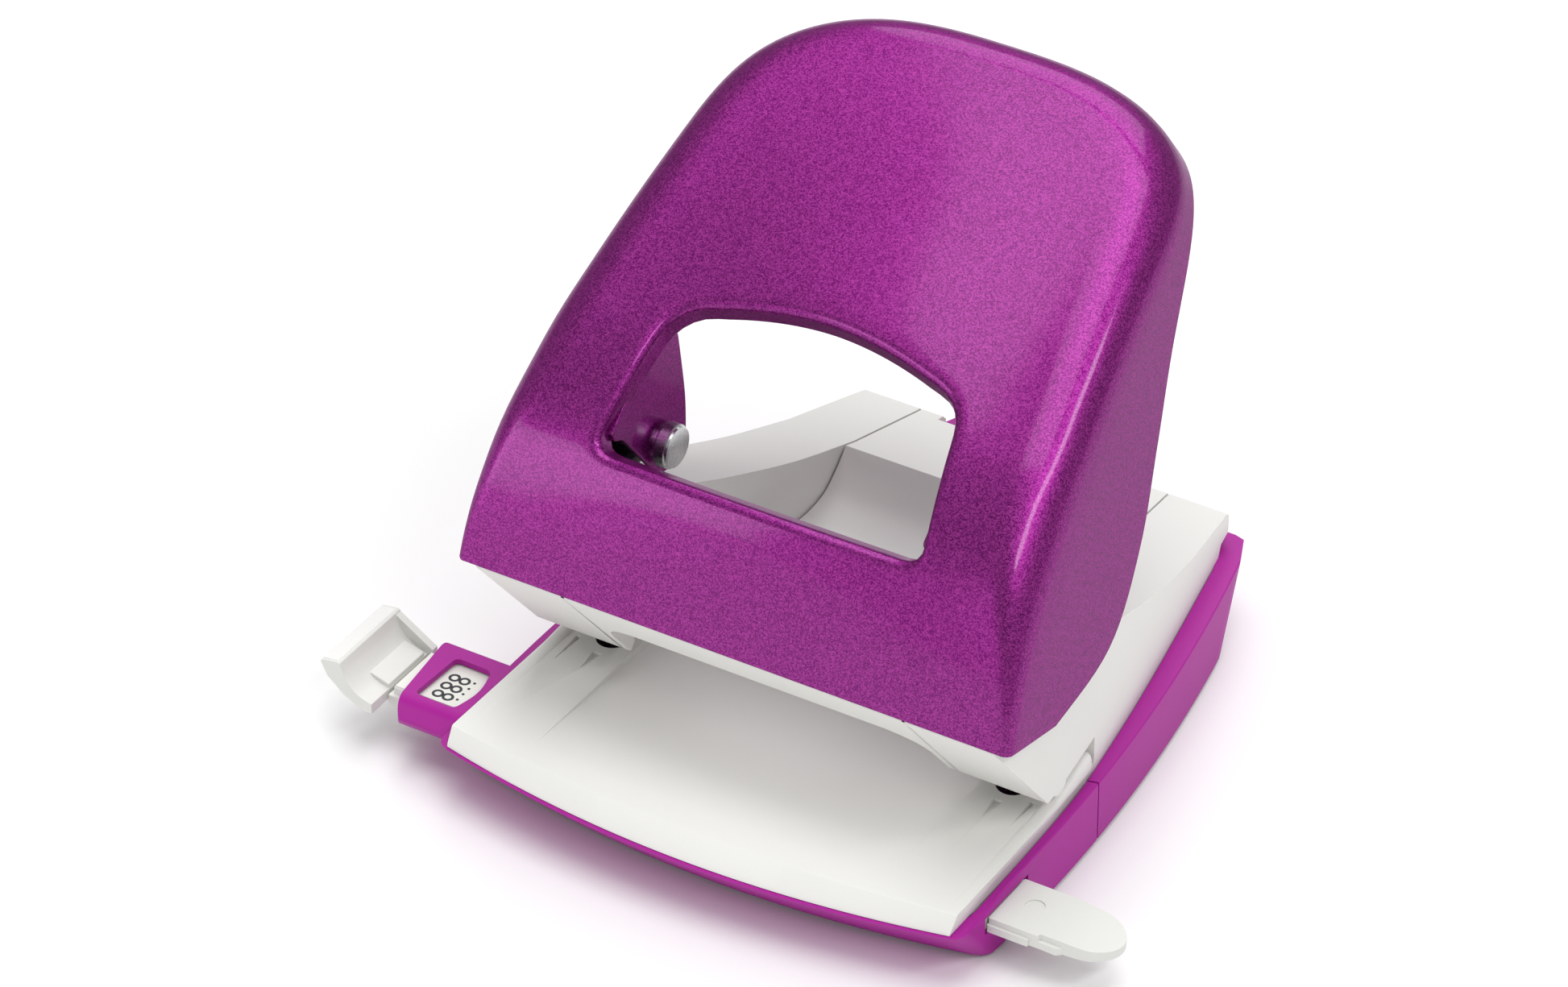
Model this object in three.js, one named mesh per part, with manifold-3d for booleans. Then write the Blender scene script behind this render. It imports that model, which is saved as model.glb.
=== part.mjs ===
// Two-hole desk punch with a pressed-steel handle, a slotted plastic body, a chip tray and a format guide.
// Millimetres. +X to the right, +Y to the back, +Z up.
// The origin is on the desk, midway between the two punches.
import * as THREE from 'three';
import { mergeVertices } from 'three/addons/utils/BufferGeometryUtils.js';
import Module from 'manifold-3d';

const wasm = await Module();
wasm.setup();

// ---------------------------------------------------------------- driving dimensions
const GAP = 0.3;                  // clearance between pieces that rest on each other
const FAR = 200;                  // longer than the object, for cutters that run right through

const HOLE_PITCH = 80;            // distance between the two punched holes
const PUNCH_X = HOLE_PITCH / 2;
const PUNCH_R = 2.75;
const TABLE_TOP = 14;             // the paper slides over this height
const THROAT_Y = 12.2;            // the paper's edge stops here, 12 mm behind the hole centres
const SLOT_TOP = 19.6;

const SHEET = 1.3;                // steel sheet of the handle
const FILLET = [1.7, 8];           // outer radius between face and flank, at the lower edge and further up
const FILLET_RISE = 40;           // distance up the face over which that radius grows
const HANDLE_HALF = 54.1;           // half width at the handle's lower edge
const AXLE = { y: -17, z: 45.5, r: 3 };
const PRESS_PIN = { y: 0.4, z: 58.6, r: 3, headR: 4.1, headX: 26.6 };

const BASE_FLOOR = 1;             // underside of the plastic base, above the rubber
const BASE_SPLIT_Y = 9;           // seam between the front shell and the chip tray
const WALL = 2;                   // plastic wall thickness
const PLATE_Z = [8.4, 10.4];      // steel base plate
const BAR = { y: [-29.4, -16], z: [7, 9.8] };

// ---------------------------------------------------------------- solids
function toManifold(geometry) {
  const bare = new THREE.BufferGeometry();
  bare.setAttribute('position', geometry.getAttribute('position').clone());
  if (geometry.index) bare.setIndex(geometry.index.clone());
  const merged = mergeVertices(bare, 1e-4);
  const vertProperties = new Float32Array(merged.getAttribute('position').array);
  const triVerts = new Uint32Array(merged.index.array);
  return new wasm.Manifold(new wasm.Mesh({ numProp: 3, vertProperties, triVerts }));
}

function toGeometry(manifold) {
  const mesh = manifold.getMesh();
  const geometry = new THREE.BufferGeometry();
  geometry.setAttribute('position', new THREE.BufferAttribute(new Float32Array(mesh.vertProperties), 3));
  geometry.setIndex(new THREE.BufferAttribute(new Uint32Array(mesh.triVerts), 1));
  geometry.computeVertexNormals();
  return geometry;
}

const join = (first, ...rest) => rest.reduce((sum, part) => sum.add(part), first);
const cut = (first, ...rest) => rest.reduce((left, part) => left.subtract(part), first);

function box(x, y, z) {
  const geometry = new THREE.BoxGeometry(x[1] - x[0], y[1] - y[0], z[1] - z[0]);
  geometry.translate((x[0] + x[1]) / 2, (y[0] + y[1]) / 2, (z[0] + z[1]) / 2);
  return toManifold(geometry);
}

// Rotations that stand a flat outline up: its two coordinates become (y, z) or stay (x, y).
const ALONG_X = new THREE.Matrix4().makeBasis(
  new THREE.Vector3(0, 1, 0), new THREE.Vector3(0, 0, 1), new THREE.Vector3(1, 0, 0));
const ALONG_Y = new THREE.Matrix4().makeBasis(
  new THREE.Vector3(1, 0, 0), new THREE.Vector3(0, 0, 1), new THREE.Vector3(0, -1, 0));

function extrude(points, length) {
  const outline = points.map(([a, b]) => new THREE.Vector2(a, b));
  if (THREE.ShapeUtils.area(outline) < 0) outline.reverse();
  return new THREE.ExtrudeGeometry(new THREE.Shape(outline), { depth: length, bevelEnabled: false });
}

function prismX(points, x0, x1) {
  return toManifold(extrude(points, x1 - x0).translate(0, 0, x0).applyMatrix4(ALONG_X));
}

function prismY(points, y0, y1) {
  return toManifold(extrude(points, y1 - y0).translate(0, 0, -y1).applyMatrix4(ALONG_Y));
}

function prismZ(points, z0, z1) {
  return toManifold(extrude(points, z1 - z0).translate(0, 0, z0));
}

function cylinderZ(radius, x, y, z0, z1, sides = 32) {
  const geometry = new THREE.CylinderGeometry(radius, radius, z1 - z0, sides);
  geometry.rotateX(Math.PI / 2).translate(x, y, (z0 + z1) / 2);
  return toManifold(geometry);
}

function cylinderX(radius, y, z, x0, x1, sides = 32) {
  const geometry = new THREE.CylinderGeometry(radius, radius, x1 - x0, sides);
  geometry.rotateZ(Math.PI / 2).translate((x0 + x1) / 2, y, z);
  return toManifold(geometry);
}

// A turned piece about a vertical axis, from (radius, z) points.
function turned(profile, x, y, sides = 32) {
  const points = profile.map(([r, z]) => new THREE.Vector2(r, z));
  if (THREE.ShapeUtils.area(points) < 0) points.reverse();
  const closed = [...points, points[0]];
  const geometry = new THREE.LatheGeometry(closed, sides).rotateX(Math.PI / 2).translate(x, y, 0);
  return toManifold(geometry);
}

// A solid whose stacked outlines have the same number of points; each outline is a list of (x, y, z).
function loft(rings) {
  const count = rings[0].length;
  const vertices = rings.flat().flat();
  const triangles = [];
  for (let k = 0; k + 1 < rings.length; k += 1) {
    for (let i = 0; i < count; i += 1) {
      const a = k * count + i;
      const b = k * count + (i + 1) % count;
      triangles.push(a, b, b + count, a, b + count, a + count);
    }
  }
  const cap = THREE.ShapeUtils.triangulateShape(rings[0].map(([x, y]) => new THREE.Vector2(x, y)), []);
  const capTop = THREE.ShapeUtils.triangulateShape(rings.at(-1).map(([x, y]) => new THREE.Vector2(x, y)), []);
  const last = (rings.length - 1) * count;
  cap.forEach(([a, b, c]) => triangles.push(c, b, a));
  capTop.forEach(([a, b, c]) => triangles.push(a + last, b + last, c + last));
  const geometry = new THREE.BufferGeometry();
  geometry.setAttribute('position', new THREE.BufferAttribute(new Float32Array(vertices), 3));
  geometry.setIndex(triangles);
  return toManifold(geometry);
}

const mirrored = (points) => [...points, ...points.map(([x, ...rest]) => [-x, ...rest]).reverse()];
const flipX = (solid) => solid.mirror([1, 0, 0]);
const lerp = THREE.MathUtils.lerp;

// ---------------------------------------------------------------- materials
const PURPLE_METAL = { color: 0xa8328f, roughness: 0.35, metalness: 0.6 };
const PURPLE_PLASTIC = { color: 0x9c2c86, roughness: 0.45, metalness: 0 };
const WHITE_PLASTIC = { color: 0xe2e2de, roughness: 0.5, metalness: 0 };
const STEEL = { color: 0xb4b6b8, roughness: 0.3, metalness: 1 };
const RUBBER = { color: 0x2b2b2c, roughness: 0.9, metalness: 0 };
const PRINT = { color: 0xf2f1ea, roughness: 0.7, metalness: 0 };

const root = new THREE.Group();

function add(name, look, solid) {
  const mesh = new THREE.Mesh(toGeometry(solid), new THREE.MeshStandardMaterial(look));
  mesh.name = name;
  root.add(mesh);
}

function addPair(name, look, rightSolid) {
  add(`${name}_right`, look, rightSolid);
  add(`${name}_left`, look, flipX(rightSolid));
}

// ---------------------------------------------------------------- base outlines
// Half width of the purple base and of the white body behind the paper slot.
const baseHalf = (y) => 52 - 8.4 * (Math.max(0, y + 8) / 77) ** 1.92;
const bodyHalf = (y) => 50.8 - 14.3 * (Math.max(0, y + 7.4) / 91) ** 1.27;
const armInner = (y) => lerp(33, 25.5, THREE.MathUtils.clamp((y - 10) / 70, 0, 1));

// Right half of the base outline from the front centre to the rear centre, grown outwards by `grow`.
function baseOutline(frontY, frontCorner, rearY, z, grow) {
  const points = [];
  const half = (y) => baseHalf(y) + grow;
  const bow = frontCorner - frontY;
  for (let i = 0; i <= 6; i += 1) {
    const x = (i / 6) * (half(frontCorner) - 3);
    points.push([x, frontY - grow + bow * (x / half(frontCorner)) ** 2, z(frontY)]);
  }
  points.push([half(frontCorner) - 0.8, frontCorner - grow - 0.2, z(frontY)]);
  for (const t of [0.04, 0.3, 0.42, 0.52, 0.62, 0.72, 0.82, 0.91, 0.975]) {
    const y = lerp(frontCorner, rearY, t);
    points.push([half(y), y, z(y)]);
  }
  points.push([half(rearY) - 2.2, rearY + grow, z(rearY)]);
  points.push([0, rearY + grow + 0.6, z(rearY)]);
  return points;
}

function fullRing(half) {
  const left = half.filter(([x]) => x > 0).map(([x, y, z]) => [-x, y, z]).reverse();
  return [...half, ...left];
}

const ramp = (y, y0, y1) => THREE.MathUtils.clamp((y - y0) / (y1 - y0), 0, 1);
const baseTop = (y) => 10.6 + 1.8 * ramp(y, -34, -22) + 1.8 * ramp(y, -20, 84);

function baseBody(grow, floor, above) {
  return loft([
    fullRing(baseOutline(-35, -28.5, 70.5, () => floor, grow)),
    fullRing(baseOutline(-44.2, -37.6, 83.2, (y) => baseTop(y) + above, grow)),
  ]);
}

// ---------------------------------------------------------------- base front shell, chip tray, rubber
const FRAME = { x: [-65.2, -50], y: [-33.8, -14.6], z: [6, 13], skew: 2.4 };
const FRAME_WINDOW = { x: [-61, -53.2], y: [-29.6, -18.2] };

function guideFrame() {
  const outline = [
    [FRAME.y[0], 9.6], [FRAME.y[0] + 1.8, FRAME.z[1]], [FRAME.y[1], FRAME.z[1]],
    [FRAME.y[1], FRAME.z[0]], [FRAME.y[0] + 2.2, FRAME.z[0]],
  ];
  const plan = [[FRAME.x[0] + FRAME.skew, FRAME.y[0]], [FRAME.x[1], FRAME.y[0]], [FRAME.x[1], FRAME.y[1]],
    [FRAME.x[0], FRAME.y[1]]];
  const block = prismX(outline, FRAME.x[0], FRAME.x[1]).intersect(prismZ(plan, 0, FAR));
  const window = box(FRAME_WINDOW.x, FRAME_WINDOW.y, [BAR.z[0], FAR]);
  return cut(block, window);
}

function barChannel(x) {
  return box(x, [BAR.y[0] - 0.4, BAR.y[1] + 0.4], [BAR.z[0] - GAP, BAR.z[1] + GAP]);
}

function baseFrontShell() {
  const front = box([-FAR, FAR], [-FAR, BASE_SPLIT_Y - 0.15], [-FAR, FAR]);
  const outer = baseBody(0, BASE_FLOOR, 0).intersect(front);
  const hollow = baseBody(-WALL, BASE_FLOOR + 1.8, 6);
  const shell = join(cut(outer, hollow), guideFrame());
  return cut(shell, barChannel([-FAR, -45]), barChannel([45, FAR]));
}

function latchTab() {
  const tongue = prismZ(mirrored([[18.2, 83.4], [20, 78.9]]), 18.7, 20.2);
  const riser = box([-18, 18], [82.2, 84], [12, 20.2]);
  return join(tongue, riser);
}

function chipTray() {
  const rear = box([-FAR, FAR], [BASE_SPLIT_Y + 0.15, FAR], [-FAR, FAR]);
  const outer = baseBody(0, BASE_FLOOR, 0).intersect(rear);
  const hollow = baseBody(-WALL, BASE_FLOOR + 1.8, 6);
  const tray = cut(outer, hollow);
  const lip = box([-48, 48], [BASE_SPLIT_Y + 0.15, BASE_SPLIT_Y + 1.9], [BASE_FLOOR, 6.2]);
  return join(tray, lip, latchTab());
}

add('base_front_shell', PURPLE_PLASTIC, baseFrontShell());
add('chip_tray', PURPLE_PLASTIC, chipTray());
add('front_mat', RUBBER, prismZ(mirrored([[40, -27], [47, -24], [47, 7]]), 0, BASE_FLOOR - 0.05));
addPair('rear_foot', RUBBER, cylinderZ(5, 33, 61, 0, BASE_FLOOR - 0.05, 24));

// ---------------------------------------------------------------- steel plate, table, dies
const SCREW = { y: 22.1, r: 1.6, headR: 3 };
const FOOT_Z = [PLATE_Z[1] + GAP, PLATE_Z[1] + GAP + 1.5];
const DECK_SCREW = { x: 15, y: 34 };

function steelBasePlate() {
  const plate = box([-45.6, 45.6], [-11, 44], PLATE_Z);
  const holes = [-1, 1].flatMap((side) => [
    cylinderZ(4.4, side * PUNCH_X, 0, 0, FAR),
    cylinderZ(SCREW.r + 0.25, side * PUNCH_X, SCREW.y, 0, FAR, 20),
    cylinderZ(1.5, side * DECK_SCREW.x, DECK_SCREW.y, 0, FAR, 20),
  ]);
  return cut(plate, ...holes);
}

function paperTable() {
  const half = 49.7;
  const rearHalf = 48.7;
  const crease = (x) => -38.8 + 3.6 * (x / half) ** 2;
  const steps = [0, 1, 2, 3, 4, 5, 6].map((i) => (i / 6) * half);
  const underZ = PLATE_Z[1] + GAP;
  const rear = [[half, -4], [rearHalf, THROAT_Y], [0, THROAT_Y]];
  const lower = [...steps.map((x) => [x * 0.995, crease(x) - 4.4]), ...rear];
  const upper = [...steps.map((x) => [x, crease(x)]), ...rear];
  const slab = loft([
    fullRing(lower.map(([x, y]) => [x, y, 11])),
    fullRing(upper.map(([x, y]) => [x, y, TABLE_TOP])),
  ]);
  // The middle of the table falls away towards the throat between two ridges.
  const falling = [[-32, TABLE_TOP], [THROAT_Y + 1, TABLE_TOP - 2.2], [THROAT_Y + 1, FAR], [-32, FAR]];
  const wedge = prismX(falling, -34.9, 34.9);
  const inner = [...steps.map((x) => [x * 0.93, crease(x) + 1]), [half * 0.93, THROAT_Y], [0, THROAT_Y]];
  const pan = loft([
    fullRing(inner.map(([x, y]) => [x, y, 10])),
    fullRing(inner.map(([x, y]) => [x, y, underZ + 0.1])),
  ]);
  const dieSeats = [-1, 1].map((side) => cylinderZ(4.5, side * PUNCH_X, 0, 0, 13.3));
  const dieHoles = [-1, 1].map((side) => cylinderZ(3.1, side * PUNCH_X, 0, 0, FAR));
  return cut(slab, wedge, pan, ...dieSeats, ...dieHoles);
}

function dieBush() {
  const inner = PUNCH_R + 0.2;
  return turned([[inner, 8.6], [4.1, 8.6], [4.1, 13], [inner, 13]], PUNCH_X, 0);
}

add('steel_base_plate', STEEL, steelBasePlate());
add('paper_table', WHITE_PLASTIC, paperTable());
addPair('die_bush', STEEL, dieBush());

// ---------------------------------------------------------------- punch frames, axle, screws
const CHEEK_X = [35.4, 36.9, 43.2, 44.7];
const SHELF_LOW = [22, 24];
const SHELF_TOP = [34, 36];

function cheekOutline() {
  const { y, z } = AXLE;
  const round = [];
  for (let a = 250; a >= 30; a -= 22) {
    const angle = THREE.MathUtils.degToRad(a);
    round.push([y + 5 * Math.cos(angle), z + 5 * Math.sin(angle)]);
  }
  return [
    ...round, [-6, SHELF_TOP[1]], [9, SHELF_TOP[1]], [18, 24], [18, FOOT_Z[0]], [15, FOOT_Z[0]],
    [15, 21.5], [-4.5, 21.5], [-4.5, 30],
  ];
}

function punchFrame() {
  const cheeks = [
    prismX(cheekOutline(), CHEEK_X[0], CHEEK_X[1]),
    prismX(cheekOutline(), CHEEK_X[2], CHEEK_X[3]),
  ];
  const across = [CHEEK_X[0], CHEEK_X[3]];
  const shelves = [box(across, [-4.5, 15], SHELF_LOW), box(across, [-4.5, 9], SHELF_TOP)];
  const foot = box(across, [15, 26], FOOT_Z);
  const back = box(across, [16.2, 18], [FOOT_Z[0], 24]);
  const body = join(cheeks[0], cheeks[1], ...shelves, foot, back);
  return cut(
    body,
    cylinderZ(PUNCH_R + 0.2, PUNCH_X, 0, 15, 40),
    cylinderX(AXLE.r + 0.15, AXLE.y, AXLE.z, 30, 50),
    cylinderZ(SCREW.r + 0.25, PUNCH_X, SCREW.y, 0, 20, 20),
  );
}

function frameScrew() {
  const { y } = SCREW;
  const head = FOOT_Z[1] + 0.1;
  const body = turned([
    [0, 8.1], [SCREW.r, 8.1], [SCREW.r, head], [SCREW.headR, head], [SCREW.headR, head + 1.2],
    [SCREW.headR - 0.7, head + 1.9], [0, head + 1.9],
  ], PUNCH_X, y, 24);
  const cross = [box([PUNCH_X - 1.7, PUNCH_X + 1.7], [y - 0.35, y + 0.35], [head + 0.9, FAR]),
    box([PUNCH_X - 0.35, PUNCH_X + 0.35], [y - 1.7, y + 1.7], [head + 0.9, FAR])];
  return cut(body, ...cross);
}

addPair('punch_frame', STEEL, punchFrame());
addPair('frame_screw', STEEL, frameScrew());
add('hinge_axle', STEEL, cylinderX(AXLE.r, AXLE.y, AXLE.z, -50.3, 50.3));

function axleRing() {
  const ring = cylinderX(4.6, AXLE.y, AXLE.z, CHEEK_X[0] - 1.6, CHEEK_X[0] - 0.5);
  return cut(ring, cylinderX(AXLE.r + 0.1, AXLE.y, AXLE.z, 20, 60),
    box([20, 60], [AXLE.y - 1.6, AXLE.y + 1.6], [0, AXLE.z]));
}
addPair('axle_ring', STEEL, axleRing());

// ---------------------------------------------------------------- white body
const LIP = { y: -25.6, z: [40.6, 41.1], depth: 2.4, foot: [-7.2, 18.8] };
const ARCH_TOP = 30;              // the front wall stops here between the legs
const CHAMBER_TOP = 41.3;
const bodyProfile = [
  [LIP.y, LIP.z[1]], [LIP.y, LIP.z[0]], LIP.foot, [THROAT_Y, SLOT_TOP], [THROAT_Y, 11.2],
  [45, 11.2], [46.5, 9.4], [72.4, 9.4], [77, 15.9], [81, 15.9], [81.3, 19.4], [80, 20.6],
  [60, 24.4], [43, 29.4], [25, 36.4], [15, 40.8], [10, 43], [-1, CHAMBER_TOP], [-8, 41], [LIP.y + 2, 41],
];
const bodyProfileInner = [
  [-22.4, 39], [-5.2, SLOT_TOP + 1.4], [THROAT_Y + 1.8, SLOT_TOP + 1.4], [THROAT_Y + 1.8, -5],
  [79.2, -5], [79.2, 18.4], [60, 22.4], [43, 27.4], [25, 34.4], [15, 38.8], [10, 39.4],
];

// Plan of one half of the body between two half widths; both are functions of y.
function halfPlan(innerHalf, outerHalf, y0, y1) {
  const ys = Array.from({ length: 13 }, (_, i) => lerp(y0, y1, i / 12));
  return [...ys.map((y) => [outerHalf(y), y]), ...[...ys].reverse().map((y) => [innerHalf(y), y])];
}

function housingShell() {
  const whole = prismX(bodyProfile, -FAR, FAR);
  const right = prismZ(halfPlan(() => 0, bodyHalf, -30, 90), -20, FAR);
  let shell = whole.intersect(join(right, flipX(right)));
  const archY = lerp(LIP.y, LIP.foot[0], (LIP.z[0] - ARCH_TOP) / (LIP.z[0] - LIP.foot[1]));
  const behindWall = prismX([
    [LIP.y + LIP.depth, FAR], [LIP.y + LIP.depth, LIP.z[0]], [archY + LIP.depth, ARCH_TOP], [-FAR, ARCH_TOP],
    [-FAR, -20], [FAR, -20], [FAR, FAR]], -FAR, FAR);
  const middle = prismZ(halfPlan(() => -1, (y) => armInner(y), -30, 95), -20, FAR).intersect(behindWall);
  const cavityInner = (y) => armInner(y) + 1.8;
  const cavityPlan = prismZ(halfPlan(cavityInner, (y) => bodyHalf(y) - WALL, -24, 79.6), -20, FAR);
  const cavity = prismX(bodyProfileInner, 0, FAR).intersect(cavityPlan);
  const opening = box([armInner(0) + 1.8, 47.6], [-19.3, 9], [35, FAR]);
  const punchWay = cylinderZ(PUNCH_R + 0.4, PUNCH_X, 0, 15, 25);
  for (const side of [(s) => s, flipX]) {
    shell = cut(shell, side(middle), side(cavity), side(opening), side(punchWay));
  }
  return shell;
}

function rearDeck() {
  const half = (y) => armInner(y) - 0.4;
  const profile = [
    [THROAT_Y + 0.3, PLATE_Z[1] + 0.6], [THROAT_Y + 0.3, 25], [16, 25], [17.5, 18.6], [24, 16.6], [44, 16.6],
    [52, 18.6], [57, 25.2], [60, 24.4], [80, 20.6], [81.2, 19.4], [80.8, 15.6], [79, 15.6],
    [79, 18.6], [60, 22.6], [58.6, 22.9], [53.4, 16.8], [45, 14.8], [23, 14.8], [16, 16.6],
    [14.2, 23], [14.2, PLATE_Z[1] + 0.6],
  ];
  const plan = prismZ(mirrored([[half(0), 0], [half(10), 10], [half(80), 80], [half(80), 90]]), 0, FAR);
  const deck = prismX(profile, -FAR, FAR).intersect(plan);
  const latchSeat = box([-20.8, 20.8], [78.3, FAR], [18.3, FAR]);
  const posts = [-1, 1].map((side) => box(
    [side * DECK_SCREW.x - 3, side * DECK_SCREW.x + 3], [DECK_SCREW.y - 3, DECK_SCREW.y + 3],
    [PLATE_Z[1] + GAP, 15.2]));
  const bores = [-1, 1].map((side) => cylinderZ(1.3, side * DECK_SCREW.x, DECK_SCREW.y, 0, 14.6, 20));
  return cut(join(cut(deck, latchSeat), ...posts), ...bores);
}

function deckScrew() {
  const under = PLATE_Z[0] - 0.1;
  return turned([[0, under - 1.6], [2.2, under - 1.6], [2.6, under - 1], [2.6, under], [1.15, under],
    [1.15, 14.2], [0, 14.2]], DECK_SCREW.x, DECK_SCREW.y, 20);
}

add('housing_shell', WHITE_PLASTIC, housingShell());
add('rear_deck', WHITE_PLASTIC, rearDeck());
addPair('deck_screw', STEEL, deckScrew());

// ---------------------------------------------------------------- handle
// The face follows a curve in the (y, z) plane from its lower edge to its top.
// The flanks reach back to a second curve; one parameter drives the pair.
const yz = (list) => new THREE.SplineCurve(list.map(([y, z]) => new THREE.Vector2(y, z)));
const faceCurve = yz([
  [-26.9, 42], [-22.9, 55.5], [-17.1, 68.4], [-6.6, 79.6], [5.6, 88.2], [21.8, 98.2],
  [41.2, 108.4], [63, 117.2]]);
const flankCurve = yz([
  [-11, 38.6], [9.5, 41.8], [22.5, 53.5], [31.5, 68], [41, 84.5], [53.6, 100.6], [69.5, 106.2]]);
faceCurve.arcLengthDivisions = 400;
const FACE_LENGTH = faceCurve.getLength();
const CORNER_START = 86;          // distance up the face where the rounded top begins
const CORNER_POWER = 2.85;        // superellipse power of the rounded top

const chord = (y, z) => (y + 26.5) * 0.656 + (z - 42) * 0.755;
const handleHalf = (y, z) => HANDLE_HALF - 2.05 * (Math.max(0, chord(y, z)) / 27.6) ** 1.28;

const filletAt = (v) => lerp(FILLET[0], FILLET[1], THREE.MathUtils.smoothstep(v, 0, FILLET_RISE));
const facePoint = (v) => faceCurve.getPointAt(THREE.MathUtils.clamp(v / FACE_LENGTH, 0, 1));

// Columns run up the left side, over the top and down the right side of the handle's outline.
function handleColumns(sideSteps, cornerSteps) {
  const half = [];
  for (let i = 0; i < sideSteps; i += 1) {
    const v = (CORNER_START * i) / sideSteps;
    half.push({ v, squeeze: 1 });
  }
  for (let i = 0; i <= cornerSteps; i += 1) {
    const a = (Math.PI / 2) * (i / cornerSteps);
    const power = 2 / CORNER_POWER;
    const v = CORNER_START + (FACE_LENGTH - CORNER_START) * Math.sin(a) ** power;
    half.push({ v, squeeze: i === cornerSteps ? 0 : Math.cos(a) ** power });
  }
  const columns = half.map(({ v, squeeze }) => {
    const p = facePoint(v);
    return { v, u: -handleHalf(p.x, p.y) * squeeze };
  });
  const rightSide = columns.slice(0, -1).reverse().map(({ v, u }) => ({ v, u: -u }));
  const all = [...columns, ...rightSide];
  return all.map((column, k) => {
    const before = all[Math.max(0, k - 1)];
    const after = all[Math.min(all.length - 1, k + 1)];
    const along = new THREE.Vector2(after.u - before.u, after.v - before.v).normalize();
    const face = facePoint(column.v);
    const edge = flankCurve.getPoint(column.v / FACE_LENGTH);
    const down = edge.clone().sub(face);
    const depth = down.length();
    return { ...column, inward: new THREE.Vector2(along.y, -along.x), down: down.normalize(), depth };
  });
}

// Point of the shell: q inwards from the outline along the face, then w down into the flank.
function handlePoint(column, q, w) {
  const u = column.u + column.inward.x * q;
  const v = column.v + column.inward.y * q;
  const p = facePoint(v);
  const y = p.x + column.down.x * w;
  const z = p.y + column.down.y * w;
  return [u, y, z];
}

function handleSheetRows(column, offset) {
  const fillet = filletAt(column.v);
  const radius = fillet - offset;
  const rows = [];
  const spineV = Math.min(column.v, lerp(CORNER_START, FACE_LENGTH, 0.25) + 0.15 * (column.v - CORNER_START));
  const start = handlePoint(column, fillet, 0);
  const startV = column.v + column.inward.y * fillet;
  for (let j = 0; j < 4; j += 1) {
    const t = j / 4;
    const p = facePoint(lerp(spineV, startV, t));
    rows.push([start[0] * t, p.x + column.down.x * offset, p.y + column.down.y * offset]);
  }
  for (let j = 0; j <= 4; j += 1) {
    const a = (Math.PI / 2) * (j / 4);
    rows.push(handlePoint(column, fillet - radius * Math.sin(a), fillet - radius * Math.cos(a)));
  }
  for (const t of [0.33, 0.66, 1]) {
    rows.push(handlePoint(column, offset, lerp(fillet, column.depth, t)));
  }
  return rows;
}

function handlePan() {
  const columns = handleColumns(9, 12);
  const outer = columns.map((column) => handleSheetRows(column, 0));
  const inner = columns.map((column) => handleSheetRows(column, SHEET));
  const rows = outer[0].length;
  const count = columns.length;
  const index = (sheet, k, j) => (sheet * count + k) * rows + j;
  const vertices = [...outer, ...inner].flat().flat();
  const triangles = [];
  const quad = (a, b, c, d) => triangles.push(a, b, c, a, c, d);
  for (let k = 0; k + 1 < count; k += 1) {
    for (let j = 0; j + 1 < rows; j += 1) {
      quad(index(0, k, j), index(0, k + 1, j), index(0, k + 1, j + 1), index(0, k, j + 1));
      quad(index(1, k, j), index(1, k, j + 1), index(1, k + 1, j + 1), index(1, k + 1, j));
    }
    quad(index(0, k, rows - 1), index(0, k + 1, rows - 1), index(1, k + 1, rows - 1), index(1, k, rows - 1));
  }
  for (let j = 0; j + 1 < rows; j += 1) {
    quad(index(0, 0, j), index(0, 0, j + 1), index(1, 0, j + 1), index(1, 0, j));
    const k = count - 1;
    quad(index(0, k, j), index(1, k, j), index(1, k, j + 1), index(0, k, j + 1));
  }
  const geometry = new THREE.BufferGeometry();
  geometry.setAttribute('position', new THREE.BufferAttribute(new Float32Array(vertices), 3));
  geometry.setIndex(triangles);
  return toManifold(geometry);
}

// The grip window, as a closed outline (x, distance up its own sloping plane).
const WINDOW = { v: [26.6, 56.5], half: [31.6, 27.4], crown: 3.2, round: [3.4, 6.5] };
const windowFoot = facePoint(WINDOW.v[0]);
const windowHead = facePoint(WINDOW.v[1]);
const windowUp = windowHead.clone().sub(windowFoot).normalize();
const windowRise = windowHead.distanceTo(windowFoot);

function windowOutline(inset) {
  const [low, high] = WINDOW.half;
  const corner = (cx, cy, radius, from, to) => Array.from({ length: 5 }, (_, i) => {
    const a = THREE.MathUtils.degToRad(lerp(from, to, i / 4));
    const r = Math.max(0.6, radius - inset);
    return [cx + r * Math.cos(a), cy + r * Math.sin(a)];
  });
  const [r0, r1] = WINDOW.round;
  const bottom = corner(low - r0, r0, r0, -90, -8);
  const top = corner(high - r1, windowRise - r1, r1, -8, 78);
  const crown = [0.66, 0.33].map((t) => [
    (high - r1) * t, windowRise + WINDOW.crown * (1 - t * t) - inset]);
  const half = [...bottom, ...top, ...crown];
  const left = half.map(([x, s]) => [-x, s]).reverse();
  return [...half, [0, windowRise + WINDOW.crown - inset], ...left];
}

// Prism through the face, standing square on the window's own plane.
function windowPrism(inset, outwards, inwards) {
  const across = new THREE.Vector3(1, 0, 0);
  const up = new THREE.Vector3(0, windowUp.x, windowUp.y);
  const out = new THREE.Vector3().crossVectors(across, up);
  const matrix = new THREE.Matrix4().makeBasis(across, up, out);
  matrix.setPosition(0, windowFoot.x, windowFoot.y);
  const geometry = extrude(windowOutline(inset), inwards + outwards).translate(0, 0, -inwards);
  return toManifold(geometry.applyMatrix4(matrix));
}

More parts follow.
